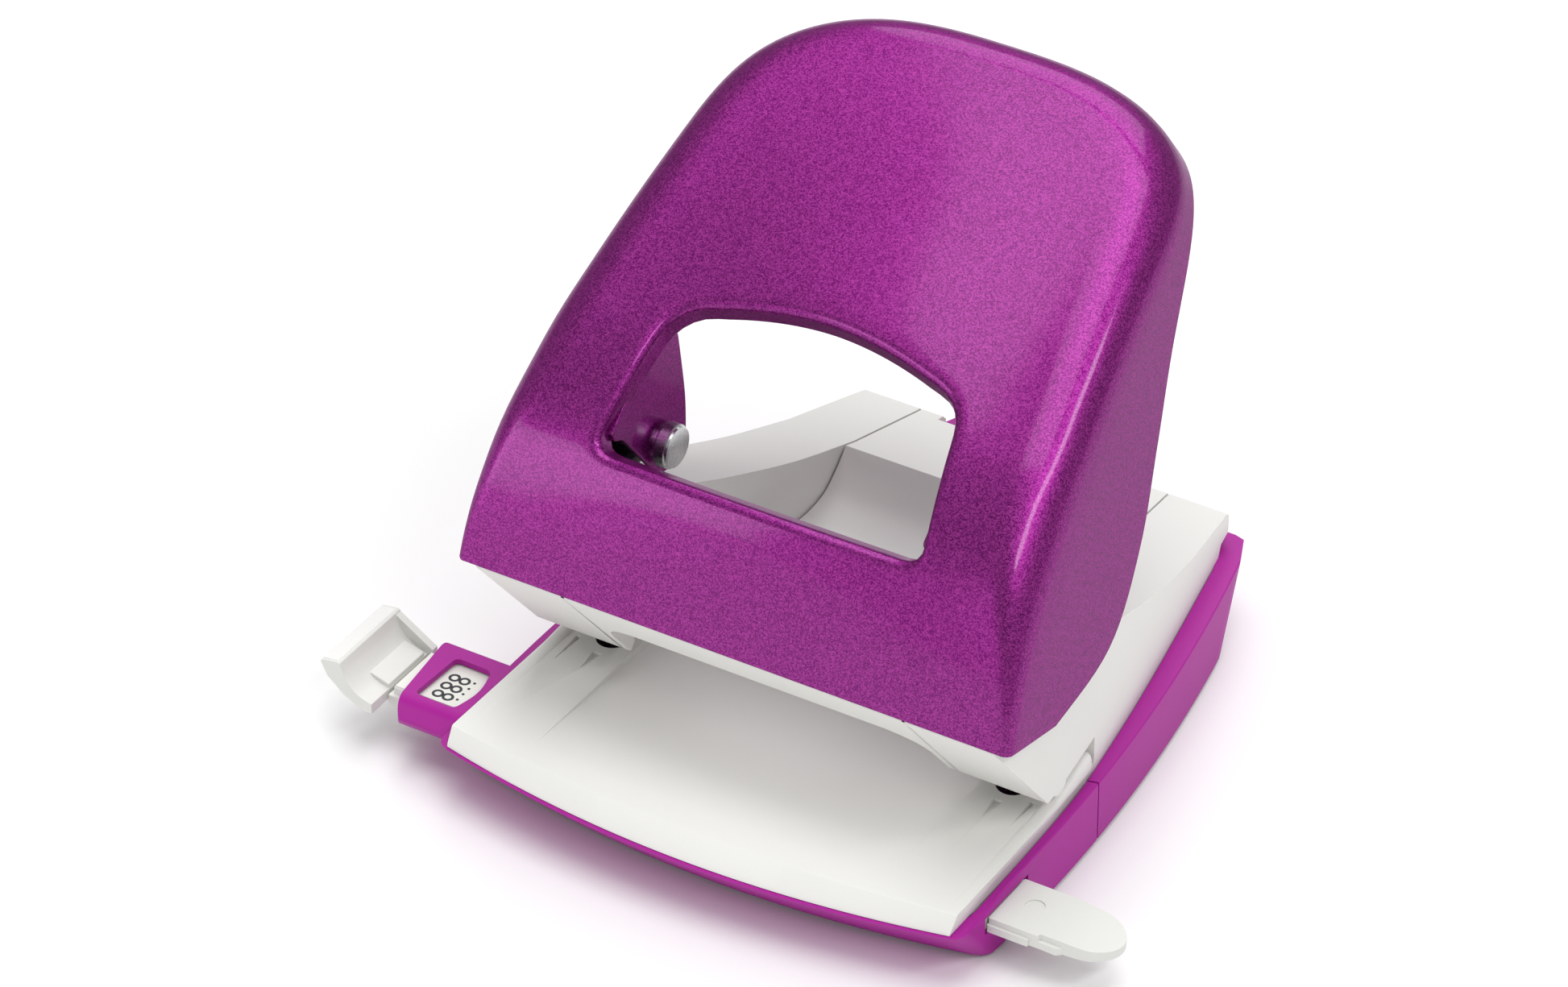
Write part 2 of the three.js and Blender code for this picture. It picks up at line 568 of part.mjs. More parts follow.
function windowFlange(depth) {
  const ring = cut(windowPrism(-0.6, 10, 20), windowPrism(SHEET, 12, 22));
  const steps = Array.from({ length: 9 }, (_, i) => lerp(16, 68, i / 8));
  const inward = new THREE.Vector2(windowUp.y, -windowUp.x);
  const near = steps.map((v) => facePoint(v)).map((p) => [p.x + inward.x * 0.5, p.y + inward.y * 0.5]);
  const far = steps.map((v) => facePoint(v)).map((p) => [p.x + inward.x * depth, p.y + inward.y * depth]);
  return ring.intersect(prismX([...near, ...far.reverse()], -FAR, FAR));
}

// Lug bent down from the side of the window; it carries the press pin.
function pinLug() {
  const outline = [
    [-8.5, 71.5], [-7.2, 66.2], [-3.8, 58], [-0.6, 52.8], [2.4, 51.6], [6, 53.2], [8.6, 57.6], [8.6, 64],
    [7.2, 72], [5.6, 80.5], [3.4, 84.2], [-5, 77.6]];
  return prismX(outline, 29.3, 30.6);
}

function hingeBoss() {
  return cylinderX(4.2, AXLE.y, AXLE.z, 47.4, 53.2);
}

function pinBoss() {
  return cylinderX(4.4, PRESS_PIN.y, PRESS_PIN.z, 46.2, 51.2);
}

function handleShell() {
  let shell = join(cut(handlePan(), windowPrism(0, 12, 22)), windowFlange(4.6));
  for (const side of [(s) => s, flipX]) {
    shell = join(shell, side(pinLug()), side(hingeBoss()), side(pinBoss()));
    shell = cut(shell, side(cylinderX(AXLE.r + 0.2, AXLE.y, AXLE.z, 45, 50.7)),
      side(cylinderX(PRESS_PIN.r + 0.15, PRESS_PIN.y, PRESS_PIN.z, 20, 48.4)));
  }
  return shell;
}
add('handle_shell', PURPLE_METAL, handleShell());

function pressPin() {
  const { y, z, r, headR, headX } = PRESS_PIN;
  const head = cylinderX(headR, y, z, headX, 29.1);
  const rim = cylinderX(headR - 0.5, y, z, headX - 0.5, headX + 0.1);
  return join(head, rim, cylinderX(r, y, z, 29, 48.1));
}

function pinRing() {
  const { y, z, r } = PRESS_PIN;
  const ring = cylinderX(4.2, y, z, 30.9, 31.9);
  return cut(ring, cylinderX(r + 0.1, y, z, 20, 60), box([20, 60], [y - 1.5, y + 1.5], [z, z + 10]));
}
addPair('press_pin', STEEL, pressPin());
addPair('pin_ring', STEEL, pinRing());

// ---------------------------------------------------------------- punches, caps, springs
const PUNCH_TIP = 20.4;
const CAP_Z = [52, 55.2];

function punch() {
  const rod = cylinderZ(PUNCH_R, PUNCH_X, 0, PUNCH_TIP, 54);
  const hollowGround = prismY([[PUNCH_X - 3, PUNCH_TIP - 1], [PUNCH_X, PUNCH_TIP + 1.1],
    [PUNCH_X + 3, PUNCH_TIP - 1]], -5, 5);
  return cut(rod, hollowGround);
}

function punchCap() {
  return turned([[PUNCH_R + 0.15, CAP_Z[0]], [5.2, CAP_Z[0]], [5.6, CAP_Z[0] + 0.4], [5.6, CAP_Z[1] - 0.8],
    [4.8, CAP_Z[1]], [0, CAP_Z[1]], [0, 54.1], [PUNCH_R + 0.15, 54.1]], PUNCH_X, 0);
}

class Helix extends THREE.Curve {
  constructor(radius, z0, z1, turns) {
    super();
    Object.assign(this, { radius, z0, z1, turns });
  }

  getPoint(t, target = new THREE.Vector3()) {
    const a = t * this.turns * 2 * Math.PI;
    const x = PUNCH_X + this.radius * Math.cos(a);
    return target.set(x, this.radius * Math.sin(a), lerp(this.z0, this.z1, t));
  }
}

function returnSpring() {
  const wire = 0.5;
  const section = Array.from({ length: 6 }, (_, i) => [
    wire * Math.cos((i * Math.PI) / 3), wire * Math.sin((i * Math.PI) / 3)]);
  const path = new Helix(4.3, SHELF_TOP[1] + wire + 0.2, CAP_Z[0] - wire - 0.2, 5);
  const shape = new THREE.Shape(section.map(([a, b]) => new THREE.Vector2(a, b)));
  return toManifold(new THREE.ExtrudeGeometry(shape, { steps: 70, extrudePath: path }));
}

addPair('punch', STEEL, punch());
addPair('punch_cap', STEEL, punchCap());
addPair('return_spring', STEEL, returnSpring());

// ---------------------------------------------------------------- format guide
function guideBar() {
  const strip = box([-67.4, 51.6], BAR.y, BAR.z);
  const labelSeat = box([-66.5, 20], [-28.6, -17], [BAR.z[1] - 0.5, FAR]);
  const notches = Array.from({ length: 5 }, (_, i) => box(
    [-30 + i * 16, -28.6 + i * 16], [-24, -21], [0, BAR.z[0] + 0.6]));
  return cut(strip, labelSeat, ...notches);
}

function formatScale() {
  return box([-66.2, 19.7], [-28.4, -17.2], [BAR.z[1] - 0.4, BAR.z[1] - 0.1]);
}

function paperStop() {
  const section = [
    [-78.2, 15.4], [-77.6, 16.2], [-74.4, 16.6], [-73.9, 16.1], [-72.6, 13], [-70.8, 11], [-67.7, 9.9],
    [-67.7, 8], [-69.6, 8], [-73.6, 10], [-76.8, 12.8],
  ];
  return prismY(section, -33.8, -14.8);
}

function barEndTab() {
  const outline = [
    [51.9, BAR.y[0] + 0.2], [66, BAR.y[0] + 0.2], [70.6, -28.4], [73.4, -25.6], [74.4, -22.6], [73.6, -19.4],
    [71.2, -17], [68, BAR.y[1] - 0.2], [55, BAR.y[1] - 0.2], [51.9, BAR.y[1] - 0.2]];
  const slab = prismZ(outline, BAR.z[0], BAR.z[1]);
  return cut(slab, cylinderZ(1.8, 57, -22, BAR.z[1] - 0.4, FAR, 24));
}

function detentSpring() {
  const leaf = [
    [-9, 5.2], [-3, 5.2], [0, 6.5], [3, 5.2], [9, 5.2], [9, 4.7], [3, 4.7], [0, 6], [-3, 4.7], [-9, 4.7]];
  return prismY(leaf, -24, -21);
}

add('guide_bar', WHITE_PLASTIC, guideBar());
add('format_scale', PRINT, formatScale());
add('paper_stop', WHITE_PLASTIC, paperStop());
add('bar_end_tab', WHITE_PLASTIC, barEndTab());
add('detent_spring', STEEL, detentSpring());

export default root;
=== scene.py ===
import math

import bmesh
import bpy
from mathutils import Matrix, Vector


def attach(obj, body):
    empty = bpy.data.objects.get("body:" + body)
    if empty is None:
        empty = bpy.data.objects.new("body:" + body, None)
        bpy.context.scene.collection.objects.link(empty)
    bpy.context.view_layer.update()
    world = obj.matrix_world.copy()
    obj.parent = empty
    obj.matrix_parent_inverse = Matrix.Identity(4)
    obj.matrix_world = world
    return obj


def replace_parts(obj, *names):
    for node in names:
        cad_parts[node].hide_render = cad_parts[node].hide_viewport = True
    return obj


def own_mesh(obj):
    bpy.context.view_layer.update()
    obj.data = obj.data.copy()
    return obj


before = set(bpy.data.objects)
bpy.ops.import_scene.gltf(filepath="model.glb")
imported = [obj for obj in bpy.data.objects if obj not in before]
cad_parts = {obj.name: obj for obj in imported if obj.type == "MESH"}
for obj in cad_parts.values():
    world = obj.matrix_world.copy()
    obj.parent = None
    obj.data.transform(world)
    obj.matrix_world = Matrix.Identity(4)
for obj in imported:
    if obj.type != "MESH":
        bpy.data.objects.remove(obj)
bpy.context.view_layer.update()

# Lengths are in millimetres until a mesh is made. x runs to the right, y to the rear, z up.
MM = 0.001
FAR = 200.0                  # longer than the object, for cutters
THROAT_Y = 12.2              # the paper's edge stops here
SLOT_TOP = 19.6              # roof of the paper slot
PUNCH_X = 40.0               # punches stand this far each side of the middle
SHEET = 1.3                  # thickness of the handle's steel
HINGE = (-17.0, 45.5)        # (y, z) of the axle
PRESS_PIN = (0.4, 58.6)      # (y, z) of the pins that press the punches
SIDES = (("right", 1), ("left", -1))


def lerp(a, b, t):
    return a + (b - a) * t


def ramp(value, start, end):
    return min(1.0, max(0.0, (value - start) / (end - start)))


# ------------------------------------------------------------------ shader maths
class Wire:
    """A node socket that can be written into expressions."""

    def __init__(self, tree, socket):
        self.tree = tree
        self.socket = socket

    def node(self, kind, settings=None, **inputs):
        """A new node; inputs are named by socket, or as i0, i1 by their place in the list."""
        made = self.tree.nodes.new(kind)
        for key, value in (settings or {}).items():
            setattr(made, key, value)
        for key, value in inputs.items():
            socket = made.inputs[int(key[1:])] if key[1:].isdigit() else made.inputs[key.replace("_", " ")]
            if isinstance(value, Wire):
                self.tree.links.new(value.socket, socket)
            else:
                socket.default_value = value
        return made

    def out(self, made, index=0):
        return Wire(self.tree, made.outputs[index])

    def maths(self, operation, a, b=0.0):
        return self.out(self.node("ShaderNodeMath", {"operation": operation}, i0=a, i1=b))

    def __add__(self, other):
        return self.maths("ADD", self, other)

    def __sub__(self, other):
        return self.maths("SUBTRACT", self, other)

    def __rsub__(self, other):
        return self.maths("SUBTRACT", other, self)

    def __mul__(self, other):
        return self.maths("MULTIPLY", self, other)

    __radd__ = __add__
    __rmul__ = __mul__

    def above(self, edge, width):
        """0 below the edge, 1 above it, soft over the width."""
        made = self.node("ShaderNodeMapRange", {"interpolation_type": "SMOOTHSTEP"},
                         Value=self, From_Min=edge - width, From_Max=edge + width)
        return self.out(made)

    def mix(self, low, high):
        """Colour low where this is 0, colour high where it is 1."""
        made = self.node("ShaderNodeMix", {"data_type": "RGBA"}, i0=self, i6=low, i7=high)
        return self.out(made, 2)

    def noise(self, scale, detail=3.0, rough=0.55, stretch=(1.0, 1.0, 1.0)):
        spot = self.out(self.node("ShaderNodeVectorMath", {"operation": "MULTIPLY"}, i0=self, i1=stretch))
        made = self.node("ShaderNodeTexNoise", Vector=spot, Scale=scale, Detail=detail, Roughness=rough)
        return self.out(made)

    def cells(self, scale):
        """One random value for each small cell, for flakes."""
        made = self.node("ShaderNodeTexVoronoi", Vector=self, Scale=scale)
        colour = self.out(made, 1)
        return self.out(self.node("ShaderNodeSeparateColor", Color=colour))


class Finish:
    """A material under construction: its surface place in metres, its shader and its bump."""

    def __init__(self, name, **constants):
        self.material = bpy.data.materials.new(name)
        self.material.use_nodes = True
        self.tree = self.material.node_tree
        self.shader = self.tree.nodes["Principled BSDF"]
        for key, value in constants.items():
            self.shader.inputs[key.replace("_", " ")].default_value = value
        coordinates = self.tree.nodes.new("ShaderNodeTexCoord")
        self.place = Wire(self.tree, coordinates.outputs["Object"])

    def set(self, **wires):
        for key, wire in wires.items():
            self.tree.links.new(wire.socket, self.shader.inputs[key.replace("_", " ")])

    def bump(self, height, strength, distance):
        made = self.place.node("ShaderNodeBump", Strength=strength, Distance=distance, Height=height)
        self.set(Normal=Wire(self.tree, made.outputs[0]))


def rgb(r, g, b):
    """Linear colour from display values 0 to 255."""
    def linear(c):
        return ((c / 255 + 0.055) / 1.055) ** 2.4 if c > 10 else c / 255 / 12.92

    return (linear(r), linear(g), linear(b), 1.0)


def lacquer():
    """Purple metallic lacquer: coarse and fine flake under a clear coat, a little unevenness in the gloss."""
    paint = Finish("purple_lacquer", Metallic=0.9, Coat_Roughness=0.1, Coat_Weight=0.38, Coat_IOR=1.5,
                   Specular_Tint=(0.45, 0.1, 0.42, 1))
    flake = paint.place.cells(5200.0)
    fine = paint.place.noise(3600.0, 2.0, 0.7)
    cloud = paint.place.noise(22.0, 2.0)
    sparkle = (flake * 0.55 + fine * 0.45).above(0.54, 0.34)
    depth = cloud.mix(rgb(104, 4, 98), rgb(110, 6, 103))
    bright = cloud.mix(rgb(166, 56, 150), rgb(172, 62, 156))
    paint.set(Base_Color=sparkle.mix(depth, bright), Roughness=flake * 0.1 + 0.34 + cloud * 0.04)
    paint.bump(flake * 0.6 + fine * 0.4, 0.1, 0.0001)
    return paint.material


def moulded(name, dark, light, rough, grain, depth, spec=0.5):
    """Injection-moulded plastic: fine spark-eroded texture, faint flow clouds, uneven gloss."""
    plastic = Finish(name, Specular_IOR_Level=spec)
    cloud = plastic.place.noise(34.0, 3.0)
    fine = plastic.place.noise(grain, 2.0, 0.6)
    plastic.set(Base_Color=(cloud * 0.7 + fine * 0.3).mix(dark, light),
                Roughness=cloud * 0.1 + fine * 0.08 + rough)
    plastic.bump(fine, depth, 0.0001)
    return plastic.material


def steel(name, dark, light, rough, stretch, scale=900.0):
    """Worked steel with its grain along one way."""
    metal = Finish(name, Metallic=1.0)
    grain = metal.place.noise(scale, 3.0, 0.6, stretch)
    stain = metal.place.noise(60.0, 2.0)
    metal.set(Base_Color=(grain * 0.6 + stain * 0.4).mix(dark, light),
              Roughness=grain * 0.18 + stain * 0.08 + rough)
    metal.bump(grain, 0.08, 0.00005)
    return metal.material


def rubber():
    """Matt black rubber with grit and a little dust."""
    skin = Finish("grip_rubber", Specular_IOR_Level=0.3)
    grit = skin.place.noise(1500.0, 3.0, 0.7)
    dust = skin.place.noise(90.0)
    skin.set(Base_Color=dust.mix(rgb(26, 26, 27), rgb(44, 44, 45)), Roughness=grit * 0.15 + 0.75)
    skin.bump(grit, 0.35, 0.0001)
    return skin.material


LACQUER = lacquer()
PURPLE = moulded("purple_plastic", rgb(160, 14, 140), rgb(170, 22, 150), 0.4, 1700.0, 0.05, 0.3)
WHITE = moulded("white_plastic", rgb(226, 226, 222), rgb(233, 233, 229), 0.46, 2300.0, 0.06, 0.4)
WHITE_GUIDE = moulded("white_guide_plastic", rgb(216, 217, 212), rgb(226, 227, 222), 0.42, 2100.0, 0.06, 0.4)
WHITE_TEXTURED = moulded("white_textured_plastic", rgb(226, 226, 224), rgb(238, 238, 236), 0.6, 900.0, 0.6,
                         0.3)
DARK_PLASTIC = moulded("dark_cap_plastic", rgb(36, 36, 38), rgb(52, 52, 54), 0.4, 1900.0, 0.08)
BRIGHT_STEEL = steel("polished_steel", rgb(176, 177, 180), rgb(214, 215, 217), 0.14, (1.0, 6.0, 1.0))
ZINC = steel("zinc_plated_steel", rgb(148, 150, 152), rgb(186, 187, 188), 0.3, (1.0, 1.0, 1.0), 420.0)
SPRING = steel("spring_steel", rgb(112, 113, 116), rgb(150, 151, 153), 0.26, (1.0, 1.0, 8.0))
RUBBER = rubber()
LABEL = moulded("label_card", rgb(226, 228, 220), rgb(236, 237, 230), 0.5, 1300.0, 0.04, 0.4)
INK = moulded("label_ink", rgb(52, 54, 58), rgb(70, 72, 76), 0.55, 1500.0, 0.04, 0.3)


# ------------------------------------------------------------------ mesh making
def place(name, verts, faces, finish, body, angle=35.0):
    """A new object from points in millimetres, riding on its body."""
    data = bpy.data.meshes.new(name)
    data.from_pydata([Vector(v) * MM for v in verts], [], faces)
    work = bmesh.new()
    work.from_mesh(data)
    bmesh.ops.remove_doubles(work, verts=work.verts, dist=2e-6)
    bmesh.ops.recalc_face_normals(work, faces=work.faces)
    work.to_mesh(data)
    work.free()
    made = bpy.data.objects.new(name, data)
    bpy.context.scene.collection.objects.link(made)
    return finished(made, finish, body, angle)


def finished(made, finish, body, angle=35.0):
    """Material, smooth shading up to an angle, and body."""
    made.data.materials.clear()
    made.data.materials.append(finish)
    made.data.polygons.foreach_set("use_smooth", [True] * len(made.data.polygons))
    made.data.set_sharp_from_angle(angle=math.radians(angle))
    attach(made, body)
    return made


def bevel(made, width, segments=2, angle=25.0):
    """Soft edges that leave the flats flat."""
    round_edges = made.modifiers.new("edges", "BEVEL")
    round_edges.width = width * MM
    round_edges.segments = segments
    round_edges.limit_method = "ANGLE"
    round_edges.angle_limit = math.radians(angle)
    round_edges.harden_normals = True
    return made


def bake(made):
    """Modifiers become the object's own mesh."""
    graph = bpy.context.evaluated_depsgraph_get()
    final = bpy.data.meshes.new_from_object(made.evaluated_get(graph))
    made.modifiers.clear()
    made.data = final
    return made


class Solid:
    """A closed shape that is joined to and cut by others before it becomes a piece."""

    def __init__(self, verts, faces):
        data = bpy.data.meshes.new("blank")
        data.from_pydata([Vector(v) * MM for v in verts], [], faces)
        work = bmesh.new()
        work.from_mesh(data)
        bmesh.ops.recalc_face_normals(work, faces=work.faces)
        work.to_mesh(data)
        work.free()
        self.made = bpy.data.objects.new("blank", data)
        bpy.context.scene.collection.objects.link(self.made)

    def act(self, operation, others):
        for other in others:
            tool = self.made.modifiers.new("tool", "BOOLEAN")
            tool.operation = operation
            tool.solver = "EXACT"
            tool.object = other.made
        bpy.context.view_layer.update()
        bake(self.made)
        for other in others:
            bpy.data.objects.remove(other.made)
        return self

    def cut(self, *others):
        return self.act("DIFFERENCE", others)

    def join(self, *others):
        return self.act("UNION", others)

    def keep(self, *others):
        return self.act("INTERSECT", others)

    def soften(self, wanted, width, segments=6):
        """Rounds the edges whose two ends, in millimetres, are wanted."""
        work = bmesh.new()
        work.from_mesh(self.made.data)
        bmesh.ops.dissolve_limit(work, angle_limit=0.002, verts=work.verts, edges=work.edges)
        chosen = [e for e in work.edges
                  if wanted(*(v.co / MM for v in e.verts)) and e.calc_face_angle(0) > 0.5]
        bmesh.ops.bevel(work, geom=chosen, offset=width * MM, segments=segments, profile=0.5, affect="EDGES",
                        clamp_overlap=True)
        work.to_mesh(self.made.data)
        work.free()
        return self

    def piece(self, name, finish, body, slot, soft=0.4, segments=2, angle=25.0):
        self.made.name = name
        self.made.data.name = name
        finished(self.made, finish, body)
        if soft:
            bevel(self.made, soft, segments, angle)
        return self.made


def closed_faces(count, rings):
    """Faces of a tube of rings, each with the same count of points, closed at both ends."""
    faces = []
    for k in range(rings - 1):
        low, high = k * count, (k + 1) * count
        faces += [(low + i, low + (i + 1) % count, high + (i + 1) % count, high + i) for i in range(count)]
    return [*faces, tuple(reversed(range(count))), tuple(range((rings - 1) * count, rings * count))]


def loft(rings):
    """A closed shape through rings of points."""
    return Solid([p for ring in rings for p in ring], closed_faces(len(rings[0]), len(rings)))


def prism_x(points, x0, x1):
    return loft([[(x, y, z) for y, z in points] for x in (x0, x1)])


def prism_y(points, y0, y1):
    return loft([[(x, y, z) for x, z in points] for y in (y0, y1)])


def prism_z(points, z0, z1):
    return loft([[(x, y, z) for x, y in points] for z in (z0, z1)])


def block(x, y, z):
    return prism_z([(x[0], y[0]), (x[1], y[0]), (x[1], y[1]), (x[0], y[1])], z[0], z[1])


def circle(cx, cy, radius, sides=48):
    return [(cx + radius * math.cos(a), cy + radius * math.sin(a))
            for a in (2 * math.pi * i / sides for i in range(sides))]


def rounded(points, radii, steps=5):
    """The outline with its corners turned on arcs; radii is one number or one per corner."""
    count = len(points)
    radii = radii if hasattr(radii, "__len__") else [radii] * count
    turned = []
    for i, radius in enumerate(radii):
        corner, before, after = Vector(points[i]), Vector(points[i - 1]), Vector(points[(i + 1) % count])
        if radius <= 0:
            turned.append(tuple(corner))
            continue
        to_before, to_after = before - corner, after - corner
        reach = min(radius, to_before.length * 0.48, to_after.length * 0.48)
        start, end = corner + to_before.normalized() * reach, corner + to_after.normalized() * reach
        for k in range(steps + 1):
            t = k / steps
            turned.append(tuple(start.lerp(corner, t).lerp(corner.lerp(end, t), t)))
    return turned


def spline(points, steps):
    """A smooth line through the points, with their spacing taken as even."""
    line = [Vector(p) for p in points]
    ends = [line[0] * 2 - line[1], *line, line[-1] * 2 - line[-2]]
    made = []
    for k in range(len(line) - 1):
        a, b, c, d = ends[k:k + 4]
        for i in range(steps):
            t = i / steps
            made.append(0.5 * (2 * b + (c - a) * t + (2 * a - 5 * b + 4 * c - d) * t ** 2
                               + (3 * b - a - 3 * c + d) * t ** 3))
    return [*made, line[-1]]


def turned(profile, centre, sides=48):
    """Points (radius, x) swung about a line along x through the centre (y, z)."""
    verts = []
    for k in range(sides):
        a = 2 * math.pi * k / sides
        verts += [(x, centre[0] + radius * math.cos(a), centre[1] + radius * math.sin(a))
                  for radius, x in profile]
    count = len(profile)
    faces = []
    for k in range(sides):
        for i in range(count - 1):
            a, b = k * count + i, ((k + 1) % sides) * count + i
            faces.append((a, a + 1, b + 1, b))
    return verts, faces


def mirrored(half):
    """A right half of an outline, then its left half back again."""
    return [*half, *((-x, y) for x, y in reversed(half))]


# ------------------------------------------------------------------ handle
# The face follows one curve in the (y, z) plane; the flanks reach back to a second one.
FACE = spline([(-26.9, 42), (-22.9, 55.5), (-17.1, 68.4), (-6.6, 79.6), (5.6, 88.2), (21.8, 98.2),
               (41.2, 108.4), (63, 117.2)], 24)
FLANK = spline([(-11, 38.6), (9.5, 41.8), (22.5, 53.5), (31.5, 68), (41, 84.5), (53.6, 100.6),
                (69.5, 106.2)], 24)
HANDLE_HALF = 54.02          # half width at the lower edge
HANDLE_FOOT = (-26.5, 42)    # (y, z) from which the handle narrows
HANDLE_RISE = (0.656, 0.755)  # direction in which it narrows
CORNER_START = 86.0          # distance up the face where the rounded top begins
CORNER_POWER = 2.85          # superellipse power of the rounded top
FILLET = (1.8, 8.0)          # edge radius at the bottom and from FILLET_RISE upwards
FILLET_RISE = 40
CROWN = 1.4                  # height of the face's slight crown


def travelled(line):
    """Distance along a line at each of its points."""
    total, marks = 0.0, [0.0]
    for a, b in zip(line, line[1:]):
        total += (b - a).length
        marks.append(total)
    return marks


FACE_MARKS = travelled(FACE)
FACE_LENGTH = FACE_MARKS[-1]


def face_at(v):
    """Point of the face's curve at a distance up it, running straight on past its ends."""
    k = 0
    while k < len(FACE) - 2 and FACE_MARKS[k + 1] < v:
        k += 1
    t = (v - FACE_MARKS[k]) / (FACE_MARKS[k + 1] - FACE_MARKS[k])
    return FACE[k].lerp(FACE[k + 1], t)


def face_normal(v):
    """Into the handle, square to the face."""
    along = (face_at(v + 1.5) - face_at(v - 1.5)).normalized()
    return Vector((along.y, -along.x))


def crown(u, v):
    """How far the pressed face stands proud of its curve, most in its middle."""
    reach = handle_half(min(v + 12, FACE_LENGTH)) - fillet_at(v)
    if abs(u) >= reach:
        return 0.0
    return CROWN * (1 - (u / reach) ** 2) ** 2 * ramp(v, 0, 25) * ramp(FACE_LENGTH - v, 12, 60)


def flank_at(t):
    """Point of the flank's rear edge, from 0 at the bottom to 1 at the top."""
    place_on = min(max(t, 0.0), 1.0) * (len(FLANK) - 1)
    k = min(int(place_on), len(FLANK) - 2)
    return FLANK[k].lerp(FLANK[k + 1], place_on - k)


def handle_half(v):
    """Half width of the handle at a distance up the face."""
    reach = max(0.0, (face_at(v) - Vector(HANDLE_FOOT)).dot(Vector(HANDLE_RISE)))
    return HANDLE_HALF - 2.05 * (reach / 27.6) ** 1.28


def fillet_at(v):
    t = ramp(v, 0, FILLET_RISE)
    return lerp(*FILLET, t * t * (3 - 2 * t))


def handle_columns(side_steps, corner_steps):
    """Outline from the lower left corner, over the top, to the lower right corner."""
    left = [(CORNER_START * i / side_steps, 1.0) for i in range(side_steps)]
    for i in range(corner_steps + 1):
        a = math.pi / 2 * i / corner_steps
        rise = math.sin(a) ** (2 / CORNER_POWER)
        squeeze = 0.0 if i == corner_steps else math.cos(a) ** (2 / CORNER_POWER)
        left.append((CORNER_START + (FACE_LENGTH - CORNER_START) * rise, squeeze))
    outline = [(-handle_half(v) * squeeze, v) for v, squeeze in left]
    outline += [(-u, v) for u, v in reversed(outline[:-1])]
    columns = []
    for k, (u, v) in enumerate(outline):
        before, after = outline[max(0, k - 1)], outline[min(len(outline) - 1, k + 1)]
        along = (Vector(after) - Vector(before)).normalized()
        down = flank_at(v / FACE_LENGTH) - face_at(v)
        columns.append({"u": u, "v": v, "inward": Vector((along.y, -along.x)),
                        "down": down.normalized(), "depth": down.length})
    return columns


def handle_point(column, q, w):
    """Point of a column: q inwards across the face, w down the flank."""
    p = face_at(column["v"] + column["inward"].y * q)
    down = column["down"]
    return (column["u"] + column["inward"].x * q, p.x + down.x * w, p.y + down.y * w)


WINDOW_V = (26.6, 56.5)      # window's lower and upper edge, up the face
WINDOW_HALF = (31.6, 27.4)   # half width at those edges
WINDOW_CROWN = 3.2           # rise of the upper edge in its middle
RIM_RADIUS = 1.7             # roll of the window's edge
RIM_DROP = 3.1               # depth of the flange inside it


def window_outline(grow, per_side):
    """Right half of the window's edge as (across, up the face), grown outwards, in even steps."""
    (v0, v1), (low, high) = WINDOW_V, WINDOW_HALF
    corners = rounded([(0, v0 - grow), (low + grow, v0 - grow), (high + grow, v1 + grow - 1.2),
                       (0, v1 + WINDOW_CROWN + grow)], [0, 3.6 + grow, 7.0 + grow, 0], 10)
    *path, top = [Vector(p) for p in corners]
    head = path[-1]
    path += [Vector((lerp(head.x, 0, t), lerp(head.y, top.y, 1 - (1 - t) ** 1.9)))
             for t in (i / 14 for i in range(1, 15))]
    marks = travelled(path)
    half = []
    for i in range(per_side + 1):
        want = marks[-1] * i / per_side
        k = next(j for j in range(len(marks) - 1) if marks[j + 1] >= want - 1e-9)
        half.append(path[k].lerp(path[k + 1], (want - marks[k]) / max(1e-9, marks[k + 1] - marks[k])))
    return half


